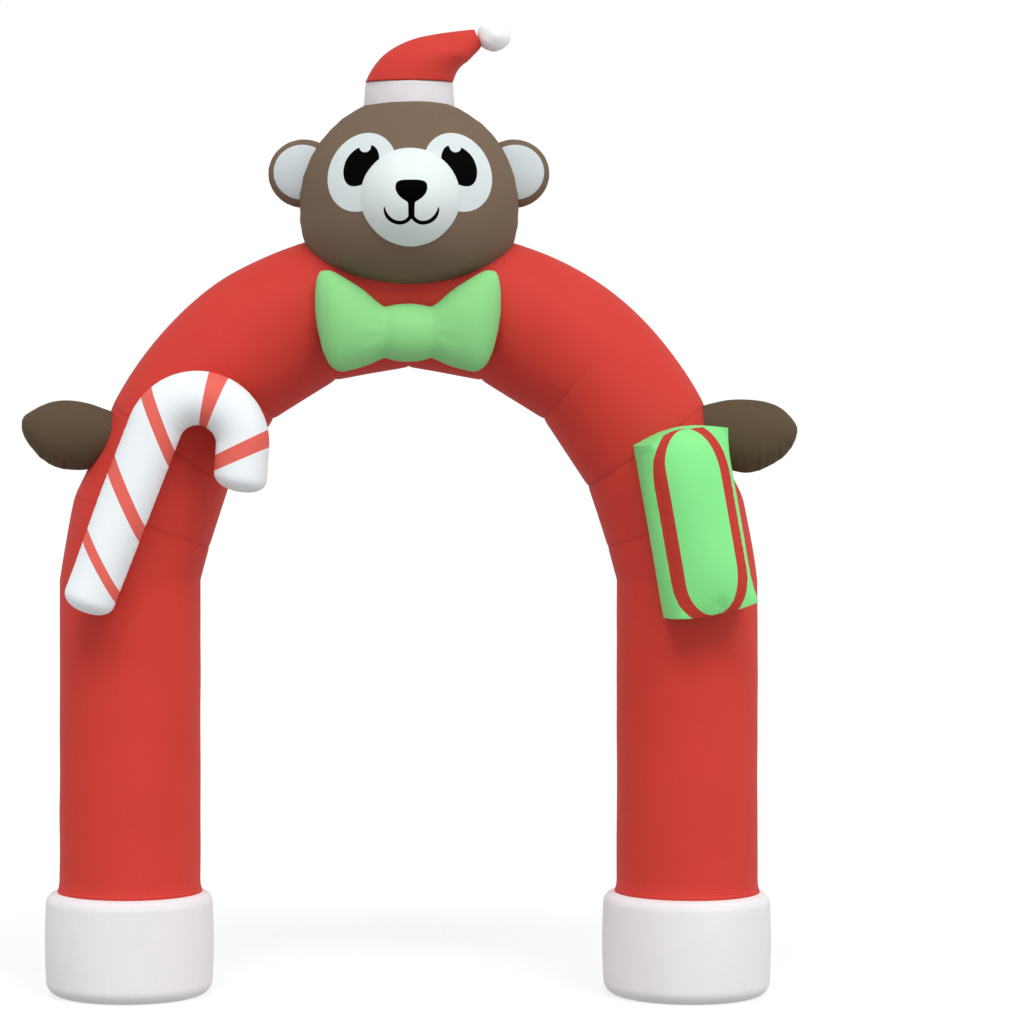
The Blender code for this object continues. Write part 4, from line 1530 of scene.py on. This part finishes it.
@dataclass
class BowTie:
    """The green bow tie: one pillow, drawn in beside its knot."""

    tube: RedTube
    centre_z: float = 2.2855
    forward: float = 0.265
    knot_x: float = 0.081
    edge: float = 0.12
    crease_depth: float = 0.0014
    crease_width: float = 0.007
    # Folds that fan out beside the knot: where they start, how they lie, and how far they reach.
    fold_x: float = 0.055
    fold_rise: float = 0.03
    least_run: float = 0.004
    fold_height: float = 0.0009
    folds_a_radian: float = 9.0
    fold_phase: float = 0.6
    fold_reach: float = 0.075
    fold_half_length: float = 0.05
    puckers: Puckers = Puckers(0.0009, 0.014, 101, 16, 44)
    pucker_turn: float = 0.63
    rows: int = 150
    columns: int = 96
    # Sections of half the bow: x, bottom, top, half depth.
    sections: tuple[tuple[float, float, float, float], ...] = (
        (0.000, -0.100, 0.097, 0.076),
        (0.041, -0.097, 0.094, 0.073),
        (0.081, -0.089, 0.089, 0.063),
        (0.101, -0.096, 0.101, 0.066),
        (0.115, -0.103, 0.113, 0.070),
        (0.152, -0.117, 0.144, 0.079),
        (0.193, -0.128, 0.171, 0.084),
        (0.230, -0.133, 0.193, 0.080),
        (0.257, -0.119, 0.207, 0.069),
        (0.284, -0.075, 0.209, 0.048),
        (0.299, -0.022, 0.203, 0.033),
        (0.309, 0.027, 0.179, 0.018),
        (0.315, 0.075, 0.135, 0.006),
    )

    def build(self) -> None:
        """Make the bow tie and press its back onto the tube."""
        half = np.array(self.sections)
        left = half[:0:-1] * np.array([-1.0, 1.0, 1.0, 1.0])
        table = through(np.concatenate([left, half]), self.rows)
        grid = pillow_grid(table, table[:, 0], ARCH_Y - self.forward, self.centre_z,
                           self.columns, self.edge)
        x = np.abs(grid[..., 0])
        z = grid[..., 2] - self.centre_z
        beside = np.abs(x - self.knot_x)
        fan = np.arctan2(z, np.maximum(x - self.fold_x, self.least_run))
        reach = (np.hypot(x - self.fold_x, z) - self.fold_reach) / self.fold_half_length
        folds = np.sin(fan * self.folds_a_radian + self.fold_phase) * np.exp(-(reach**2)) * ease(
            self.knot_x, self.knot_x + self.fold_rise, x)
        lift = -self.crease_depth * groove(beside, self.crease_width) + self.fold_height * folds
        seam = outline_seam(grid)
        lift += self.puckers.at(seam[..., 0], grid[..., 0] / self.pucker_turn)
        skin = ring_skin(grid, seam)
        skin.lift_rings(lift)
        skin.points = self.tube.press(skin.points, (0.0, -1.0, 0.0))
        hand_over(skin, "bow_tie", BOW_TAFFETA)


@dataclass
class Hand:
    """A brown hand at a shoulder: two panels sewn along its outline, pressed onto the tube."""

    side: Side
    tube: RedTube
    centre_z: float = 1.9315
    forward: float = 0.050
    edge: float = 0.05
    puckers: Puckers = Puckers(0.0030, 0.034, 111, 7, 17)
    pucker_turn: float = 0.42
    # Where the wrinkles rise: between two heights off the middle, above which they keep a share,
    # and between two distances along X, before which there are none.
    low_fade: Point = (0.02, -0.06)
    tip_fade: Point = (1.05, 1.22)
    upper_share: float = 0.20
    hills: Hills = Hills(0.0010, 0.12, 112)
    rows: int = 96
    columns: int = 96
    # For each hand the sections from its tip inwards: x without its sign, bottom, top, half depth.
    left_sections: tuple[tuple[float, float, float, float], ...] = (
        (1.333, 0.021, 0.051, 0.006),
        (1.330, 0.012, 0.060, 0.016),
        (1.323, -0.006, 0.071, 0.030),
        (1.305, -0.033, 0.084, 0.048),
        (1.262, -0.079, 0.107, 0.070),
        (1.212, -0.108, 0.121, 0.082),
        (1.161, -0.117, 0.124, 0.086),
        (1.106, -0.115, 0.114, 0.086),
        (1.063, -0.103, 0.100, 0.082),
        (1.023, -0.086, 0.086, 0.076),
        (0.975, -0.055, 0.065, 0.060),
        (0.941, -0.028, 0.041, 0.045),
    )
    right_sections: tuple[tuple[float, float, float, float], ...] = (
        (1.3435, 0.011, 0.030, 0.006),
        (1.341, 0.002, 0.037, 0.016),
        (1.336, -0.014, 0.047, 0.029),
        (1.318, -0.045, 0.071, 0.048),
        (1.2896, -0.076, 0.0965, 0.064),
        (1.226, -0.1135, 0.120, 0.081),
        (1.163, -0.126, 0.128, 0.086),
        (1.106, -0.116, 0.125, 0.086),
        (1.063, -0.103, 0.117, 0.082),
        (1.023, -0.086, 0.107, 0.076),
        (0.975, -0.055, 0.082, 0.060),
        (0.941, -0.028, 0.055, 0.045),
    )

    def build(self) -> None:
        """Make the hand, with wrinkles that run in from its seam, mostly low and near its tip."""
        left = self.side is Side.LEFT
        table = through(self.left_sections if left else self.right_sections, self.rows)
        grid = pillow_grid(table, self.side.value * table[:, 0], ARCH_Y - self.forward,
                           self.centre_z, self.columns, self.edge)
        seam = outline_seam(grid)
        low = ease(*self.low_fade, grid[..., 2] - self.centre_z)
        tip = ease(*self.tip_fade, np.broadcast_to(table[:, :1], low.shape))
        lift = self.puckers.at(seam[..., 0], seam[..., 1] / self.pucker_turn)
        share = self.upper_share + (1 - self.upper_share) * low
        lift = lift * share * tip + self.hills.at(grid)
        skin = ring_skin(grid, seam)
        skin.lift_rings(lift)
        skin.points = self.tube.press(skin.points, (float(self.side.value), 0.0, 0.0))
        hand_over(skin, f"hand_{self.side.name.lower()}", HAND_TAFFETA)


@dataclass(frozen=True)
class Stripe:
    """A stripe of the cane: its middle's place along the cane at the left and at the right edge,
    in metres from the shaft's foot, and half its width there."""

    left: float
    right: float
    half_left: float
    half_right: float


@dataclass
class CandyCane:
    """The striped cane: a round tube along a leaning shaft and a hook."""

    tube: RedTube
    radius: float = 0.092
    forward: float = 0.320
    hook_x: float = -0.712
    hook_z: float = 1.910
    hook_radius: float = 0.152
    lean_degrees: float = 21.3
    overrun_degrees: float = 4.0
    shaft: float = 0.614
    tail: float = 0.098
    cap_depth: float = 0.056
    cap_power: float = 2.3
    # The tail narrows on its inner side and its end slants, and the foot narrows on its left.
    tail_taper: float = 0.004
    tail_reach: float = 0.16
    tail_slant: float = 0.009
    last_ring: float = 0.998  # how near the tip an end's last ring lies, as a share of its depth
    slant_fade: Point = (-0.05, 0.03)
    foot_taper: float = 0.009
    foot_reach: float = 0.40
    gather_fade: Point = (-0.03, 0.10)
    tail_gather_fade: Point = (0.02, -0.10)
    gather_from: float = 0.45
    gather_height: float = 0.0010
    gather_turn: float = 0.62
    gather_seed: int = 123
    gather_waves: tuple[int, int] = (12, 24)
    puckers: Puckers = Puckers(0.0007, 0.016, 121, 14, 40)
    stripe_reach: float = 0.16
    columns: int = 96
    row_step: float = 0.006
    stripes: tuple[Stripe, ...] = (
        Stripe(0.194, 0.0335, 0.0235, 0.020),
        Stripe(0.4443, 0.2613, 0.033, 0.028),
        Stripe(0.678, 0.535, 0.0155, 0.029),
        Stripe(0.8440, 0.851, 0.0215, 0.035),
        Stripe(1.0256, 1.1108, 0.0185, 0.0265),
    )

    @property
    def hook_angle(self) -> float:
        """The angle that the hook turns through, in radians."""
        return math.radians(180 - self.lean_degrees + self.overrun_degrees)

    def route(self, along: Array) -> tuple[Array, Array]:
        """The centre line and its right-hand side, at distances from the shaft's foot.

        A straight shaft leads into an arc about the hook's middle and a straight tail.

        Args:
            along: Distances along the line. They may run past both its ends.

        Returns:
            Points and unit vectors, each as X and Z.
        """
        arc = self.hook_radius * self.hook_angle
        on_arc = np.clip((along - self.shaft) / arc, 0.0, 1.0)
        angle = math.radians(180 - self.lean_degrees) - self.hook_angle * on_arc
        outward = np.stack([np.cos(angle), np.sin(angle)], axis=-1)
        ahead = np.stack([np.sin(angle), -np.cos(angle)], axis=-1)
        straight = np.minimum(along - self.shaft, 0.0) + np.maximum(along - self.shaft - arc, 0.0)
        middle = np.array([self.hook_x, self.hook_z])
        return middle + self.hook_radius * outward + ahead * straight[:, None], -outward

    def build(self) -> None:
        """Make the cane: rings along the route, closed by two rounded ends.

        The hook is gathered on its inner side. The shaft's foot is leaner on its left, the tail
        is leaner on its inner side, and the tail's end is cut at a slant.
        """
        length = self.shaft + self.hook_radius * self.hook_angle + self.tail
        hook_end = length - self.tail
        body = np.linspace(0.0, length, round(length / self.row_step) + 1)
        share = np.sin(np.linspace(0.0, math.pi / 2, 15))[1:-1]
        end = np.concatenate([share, [self.last_ring]])
        along = np.concatenate([-self.cap_depth * end[::-1], body, length + self.cap_depth * end])
        over = np.maximum(-along, along - length).clip(0.0) / self.cap_depth
        girth = self.radius * (1 - over**self.cap_power) ** (1 / self.cap_power)
        centre, right = self.route(along)
        turn = ring_turns(self.columns)
        lateral = np.broadcast_to(np.sin(turn), (along.size, turn.size))
        hook = (ease(*self.gather_fade, along - self.shaft)
                * ease(*self.tail_gather_fade, along - hook_end))
        gathers = ruffle(along[:, None] / self.gather_turn, self.gather_seed, *self.gather_waves)
        gathers = gathers * hook[:, None] * ease(self.gather_from, 1.0, lateral)
        seam = self._seam(along, turn)
        swell = self.gather_height * gathers + self.puckers.at(seam[..., 0], seam[..., 1])
        tail = ease(hook_end - self.tail_reach, hook_end, along)[:, None]
        foot = ease(self.foot_reach, 0.0, along)[:, None]
        swell = swell - self.tail_taper * tail * ease(0.0, 1.0, lateral)
        swell = swell - self.foot_taper * foot * ease(0.0, -1.0, lateral)
        size = girth[:, None] + swell * (girth / self.radius)[:, None]
        ahead = np.stack([-right[:, 1], right[:, 0]], axis=-1)
        slant = ease(*self.slant_fade, along - length)[:, None] * lateral * girth[:, None]
        plane = centre[:, None, :] + right[:, None, :] * (size * lateral)[..., None]
        plane -= ahead[:, None, :] * (self.tail_slant / self.radius * slant)[..., None]
        grid = np.stack([plane[..., 0], ARCH_Y - self.forward - size * np.cos(turn),
                         plane[..., 1]], axis=-1)
        skin = ring_skin(grid, seam, {"stripes": self._stripes(along, plane)})
        skin.points = self.tube.press(skin.points, (0.0, -1.0, 0.0))
        hand_over(skin, "candy_cane", CANE_TAFFETA)

    def _seam(self, along: Array, turn: Array) -> Array:
        """The seam map of the two seams along the cane's left and right edges."""
        away = np.abs(np.abs(turn) - math.pi / 2) * self.radius
        away = np.broadcast_to(away, (along.size, turn.size))
        return np.stack([away, np.broadcast_to(along[:, None], away.shape)], axis=-1)

    def _stripes(self, along: Array, plane: Array) -> Array:
        """The stripes' signed distance: each lies between two straight lines across the cane.

        A line runs from the cane's left to its right edge, and the distance from it is the cross
        product of its unit vector and the way from its start.

        Args:
            along: Each ring's distance from the shaft's foot.
            plane: Each point's X and Z.

        Returns:
            The distance from the nearest stripe's edge.
        """
        fields = []
        for stripe in self.stripes:
            lines = []
            for way in (-1.0, 1.0):
                centre, right = self.route(np.array([
                    stripe.left + way * stripe.half_left, stripe.right + way * stripe.half_right]))
                start, end = centre + self.radius * right * np.array([[-1.0], [1.0]])
                run = (end - start) / np.linalg.norm(end - start)
                away = plane - start
                lines.append(way * (run[0] * away[..., 1] - run[1] * away[..., 0]))
            near = np.abs(along - (stripe.left + stripe.right) / 2) < self.stripe_reach
            fields.append(np.where(near[:, None], np.max(lines, axis=0), NO_SEAM))
        return np.min(fields, axis=0)


@dataclass(frozen=True)
class RibbonEdge:
    """An edge of the ribbon: two straight sides, joined at each end by two quarter ellipses.

    starts holds the heights where the quarters start: top left, top right, bottom left and bottom
    right, all counted from the box's middle.
    """

    middle: float
    half_width: float
    top: float
    bottom: float
    starts: tuple[float, float, float, float]

    def distance(self, x: Array, z: Array) -> Array:
        """The signed distance: the root of (across)^2 + (beyond)^2, less 1, times the half width.

        Args:
            x: Places across the laid-out box.
            z: Places up it.

        Returns:
            The distance at each place, below nothing inside the edge.
        """
        up, right = z > 0, x > self.middle
        start = np.array(self.starts)[2 * (1 - up) + right]
        beyond = (np.abs(z) - start) / (np.where(up, self.top, self.bottom) - start)
        level = np.hypot((x - self.middle) / self.half_width, np.maximum(beyond, 0.0))
        return (level - 1) * self.half_width


@dataclass
class GiftBox:
    """The green gift box: six crowned panels, and a red ribbon printed as a racetrack."""

    tube: RedTube
    place_x: float = 0.9745
    place_z: float = 1.643
    back: float = 0.200
    half_width: float = 0.144
    half_height: float = 0.298
    half_depth: float = 0.090
    tilt_degrees: float = 10.2
    turn_degrees: float = 9.0
    front_bulge: float = 0.046
    top_bulge: float = 0.029
    foot_bulge: float = 0.022
    side_bulge: float = 0.006
    edge_draw_in: float = 0.002
    rounding: float = 0.160
    right_rounding: float = 0.080
    left_move: Point3 = (-0.0055, 0.0, -0.0100)
    cells: int = 56
    crowding: float = 0.25  # how far the cells crowd towards the edges, up to 1
    sharp_degrees: float = 38.0
    puckers: Puckers = Puckers(0.0011, 0.016, 131, 12, 40)
    pucker_way: Point3 = (0.9, 0.3, 1.1)  # whole turns of the ripples for a metre each way
    end_flattening: float = 0.15
    front_fade: Point = (-0.2, -0.9)
    ribbon_back: float = 0.9  # beyond this share of the half depth there is no ribbon
    ribbon_outer: RibbonEdge = RibbonEdge(-0.0065, 0.1300, 0.345, 0.345, (0.15, 0.14, 0.17, 0.17))
    ribbon_inner: RibbonEdge = RibbonEdge(-0.0028, 0.0897, 0.322, 0.316, (0.20, 0.15, 0.19, 0.15))
    # The dents' depth and length, and their half width, which grows by a slope near the end.
    dent_depth: float = 0.005
    dent_length: float = 0.062
    dent_half_width: float = 0.010
    dent_slope: float = 0.55
    dent_mouth: float = 0.045
    dent_widest: float = 0.05
    # Each dent's place on the front, X and Z, and the end it runs to as a sign along Z.
    dents: tuple[Point3, ...] = ((0.0238, 0.290, 1.0), (0.0084, -0.292, -1.0))

    def build(self) -> None:
        """Make the box, dent its front panel by its ends, set it in place and press its back."""
        net = cube_net(self.cells)
        unit = (np.sin(net.unit * math.pi / 2) * self.crowding
                + net.unit * (1 - self.crowding))
        half = np.array([self.half_width, self.half_depth, self.half_height])
        local = self._crowned(unit, half)
        skin = net_skin(net, local, self._chart_size(half), self._seam(net, half))
        on_front = ease(*self.front_fade, unit[:, 1])
        dents = sum(self._dent(local, *dent) for dent in self.dents)
        away = np.sort((1 - np.abs(unit)) * half, axis=1)[:, 1]
        skin.lift(self.puckers.at(away, (local @ np.array(self.pucker_way)) % 1.0)
                  - self.dent_depth * dents * on_front)
        skin.prints = {"ribbon": self._ribbon(unit, local, half)}
        skin.points = self.tube.press(self._set_in_place(skin.points), (0.0, -1.0, 0.0))
        piece = hand_over(skin, "gift_box", GIFT_TAFFETA)
        piece.data.set_sharp_from_angle(angle=math.radians(self.sharp_degrees))

    def _crowned(self, unit: Array, half: Array) -> Array:
        """Blow the unit box out to the crowned box.

        The front bulges as (1 - x^2)(1 - z^4), each end as (1 - x^2)(1 - f y^2), f being its
        flattening, and each side as (1 - y^2)(1 - z^2). A front upright edge is drawn in towards
        the middle by the rounding times x^2 y^2, and the right one by its own rounding times
        (1 - z^4) as well, so its two corners stay sharp.
        """
        square = unit**2
        x, y, z = square.T
        front = unit[:, 1] < 0
        end = np.where(unit[:, 2] > 0, self.top_bulge, self.foot_bulge)
        swell = np.stack([self.side_bulge * (1 - y) * (1 - z),
                          self.front_bulge * (1 - x) * (1 - z * z) * front,
                          end * (1 - x) * (1 - self.end_flattening * y)], axis=-1)
        first, second = np.roll(square, -1, axis=1), np.roll(square, -2, axis=1)
        tuck = self.edge_draw_in * (first * (1 - second) + second * (1 - first))
        local = unit * (half + swell - tuck)
        rounding = np.where(unit[:, 0] > 0, self.right_rounding * (1 - z * z), self.rounding)
        local[:, :2] *= (1 - rounding * x * y * front)[:, None]
        return local

    def _chart_size(self, half: Array) -> Array:
        """The metres of cloth from the middle of each side to its edges, along its two axes."""
        sizes = [(half[(axis + 1) % 3], half[(axis + 2) % 3]) for axis in (0, 0, 1, 1, 2, 2)]
        return np.array(sizes)

    def _seam(self, net: CubeNet, half: Array) -> Array:
        """The seam map of the twelve edges: the nearer edge's distance and the run along it."""
        sizes = self._chart_size(half)[net.side]
        corner = net.chart * sizes[:, None, :]
        away = sizes[:, None, :] - np.abs(corner)
        nearer = away.mean(axis=1).argmin(axis=1)
        index = np.arange(len(nearer))
        return np.stack([away[index, :, nearer], corner[index, :, 1 - nearer]], axis=-1)

    def _dent(self, local: Array, x: float, z: float, way: float) -> Array:
        """A dent that is pointed away from an end: a hill whose width grows towards the end."""
        from_end = (z - local[:, 2]) * way
        width = self.dent_half_width + self.dent_slope * np.clip(
            self.dent_mouth - from_end, 0.0, self.dent_widest)
        return np.exp(-((local[:, 0] - x) / width) ** 2) * ease(self.dent_length, 0.0, from_end)

    def _ribbon(self, unit: Array, local: Array, half: Array) -> Array:
        """The ribbon's signed distance on the front panel and on what it runs over at its edges.

        The panels are laid flat about the front one: on an end the depth behind the front edge is
        added to the height, and on a side half of it to the width, most of which the rounded edge
        has counted already. The ribbon lies between its outer and its inner edge.
        """
        behind = unit[:, 1] > -ON_SIDE
        over_end = behind & (np.abs(unit[:, 2]) > ON_SIDE)
        beside = behind & (np.abs(unit[:, 0]) > ON_SIDE)
        depth = np.maximum(local[:, 1] + half[1] * (1 - self.rounding * unit[:, 0] ** 2), 0.0)
        x = local[:, 0] + np.sign(unit[:, 0]) * np.where(beside, depth / 2, 0.0)
        z = local[:, 2] + np.sign(unit[:, 2]) * np.where(over_end, depth, 0.0)
        ribbon = np.maximum(self.ribbon_outer.distance(x, z), -self.ribbon_inner.distance(x, z))
        return np.where(unit[:, 1] > self.ribbon_back, NO_SEAM, ribbon)

    def _set_in_place(self, local: Array) -> Array:
        """Drop the left side a little, tilt the box about Y, turn it about Z and place it."""
        left = np.clip(-local[:, :1] / self.half_width, 0.0, 1.0) ** 2
        local = local + left * np.array(self.left_move)
        tilt, turn = -math.radians(self.tilt_degrees), math.radians(self.turn_degrees)
        about_y = np.array([[math.cos(tilt), 0.0, math.sin(tilt)], [0.0, 1.0, 0.0],
                            [-math.sin(tilt), 0.0, math.cos(tilt)]])
        about_z = np.array([[math.cos(turn), -math.sin(turn), 0.0],
                            [math.sin(turn), math.cos(turn), 0.0], [0.0, 0.0, 1.0]])
        place = np.array([self.place_x, ARCH_Y - self.back - self.half_depth, self.place_z])
        return local @ (about_z @ about_y).T + place


# ---- Camera, light and floor ----
@dataclass(frozen=True)
class Glow:
    """A part of the room's light: strength times (way . d)^power, seen along a direction d."""

    way: Point3
    strength: float
    power: float = 1.0


@dataclass(frozen=True)
class Key:
    """A large soft key light far away: its strength, azimuth to the right and elevation."""

    strength: float
    azimuth: float
    elevation: float


@dataclass
class Studio:
    """A level camera straight in front, a white room and soft key lights from above the camera."""

    camera_distance: float = 12.0
    camera_z: float = 1.998
    lens: float = 121.65
    shift: Point = (0.1016, -0.0928)
    farthest_seen: float = 400.0
    room_level: float = 0.184
    glows: tuple[Glow, ...] = (
        Glow((0.0, -1.0, 0.0), 0.275),
        Glow((1.0, 0.0, 0.0), 0.64),
        Glow((-1.0, 0.0, 0.0), 0.545),
        Glow((0.0, 1.0, 0.0), 0.40),
        Glow((0.5, -0.5, 0.7071), 0.25, 6.0),
    )
    keys: tuple[Key, ...] = (Key(1.12, -10.0, 55.0), Key(0.94, 28.0, 48.0))
    key_angle: float = 22.0
    floor_radius: float = 150.0
    floor_corners: int = 96
    floor_colour: str = "8C8C8C"
    floor_roughness: float = 0.9
    floor_glow: float = 0.74

    def build(self) -> None:
        """Set up the view transform, the camera, the lights and the floor."""
        bpy.context.scene.view_settings.view_transform = "Standard"
        self._place_camera()
        self._light_room()
        self._light_keys()
        self._lay_floor()

    def _place_camera(self) -> None:
        """Put the camera on the object's middle plane, its shift framing as the photo does."""
        data = bpy.data.cameras.new("camera")
        data.lens = self.lens
        data.shift_x, data.shift_y = self.shift
        data.clip_end = self.farthest_seen
        camera = bpy.data.objects.new("camera", data)
        camera.location = (0.0, ARCH_Y - self.camera_distance, self.camera_z)
        camera.rotation_euler = (math.radians(90), 0.0, 0.0)
        bpy.context.scene.collection.objects.link(camera)
        bpy.context.scene.camera = camera

    def _light_room(self) -> None:
        """Light the room from four sides and the upper right. The camera sees it plain white."""
        world = bpy.data.worlds.new("white_room")
        tree = empty_tree(world)
        seen = add_node(tree, "ShaderNodeTexCoord").outputs["Generated"]
        level: object = self.room_level
        for glow in self.glows:
            share = add_node(tree, "ShaderNodeVectorMath", {"operation": "DOT_PRODUCT"},
                             {0: seen, 1: glow.way}).outputs["Value"]
            share = add_node(tree, "ShaderNodeMath", {"operation": "MAXIMUM"},
                             {0: share, 1: 0.0}).outputs[0]
            share = add_node(tree, "ShaderNodeMath", {"operation": "POWER"},
                             {0: share, 1: glow.power}).outputs[0]
            level = add_node(tree, "ShaderNodeMath", {"operation": "MULTIPLY_ADD"},
                             {0: share, 1: glow.strength, 2: level}).outputs[0]
        in_view = add_node(tree, "ShaderNodeLightPath").outputs["Is Camera Ray"]
        level = add_node(tree, "ShaderNodeMix", {"data_type": "FLOAT"},
                         {0: in_view, 2: level, 3: 1.0}).outputs[0]
        light = add_node(tree, "ShaderNodeBackground", links={"Color": level})
        add_node(tree, "ShaderNodeOutputWorld", links={"Surface": light.outputs[0]})
        bpy.context.scene.world = world

    def _light_keys(self) -> None:
        """Hang the key lights."""
        for key in self.keys:
            data = bpy.data.lights.new("key", "SUN")
            data.energy = key.strength
            data.angle = math.radians(self.key_angle)
            lamp = bpy.data.objects.new("key", data)
            lamp.rotation_euler = (math.radians(90 - key.elevation), 0.0, math.radians(key.azimuth))
            bpy.context.scene.collection.objects.link(lamp)

    def _lay_floor(self) -> None:
        """Lay a wide white floor that takes the shadows and throws no light back."""
        turn = np.linspace(0.0, math.tau, self.floor_corners + 1)[:-1]
        rim = np.stack([np.cos(turn), np.sin(turn), np.zeros_like(turn)], -1) * self.floor_radius
        mesh = bpy.data.meshes.new("floor")
        mesh.from_pydata(rim.tolist(), [], [list(range(len(rim)))])
        material = bpy.data.materials.new("white_painted_floor")
        tree = empty_tree(material)
        shader = add_node(tree, "ShaderNodeBsdfPrincipled", links={
            "Base Color": linear_colour(self.floor_colour), "Roughness": self.floor_roughness,
            "Specular IOR Level": 0.0, "Emission Color": (1.0, 1.0, 1.0, 1.0),
            "Emission Strength": self.floor_glow})
        add_node(tree, "ShaderNodeOutputMaterial", links={"Surface": shader.outputs[0]})
        mesh.materials.append(material)
        floor = bpy.data.objects.new("floor", mesh)
        floor.visible_diffuse = floor.visible_glossy = False
        bpy.context.scene.collection.objects.link(floor)


def main() -> None:
    """Build the studio and every piece, from the floor up."""
    logging.basicConfig(level=logging.INFO, format="%(name)s %(message)s")
    Studio().build()
    for side in Side:
        DrumFoot(side).build()
    tube = RedTube()
    tube.build()
    head = AnimalHead(tube)
    head.build()
    StockingCap(head).build()
    BowTie(tube).build()
    for side in Side:
        Hand(side, tube).build()
    CandyCane(tube).build()
    GiftBox(tube).build()


if __name__ == "__main__":
    main()
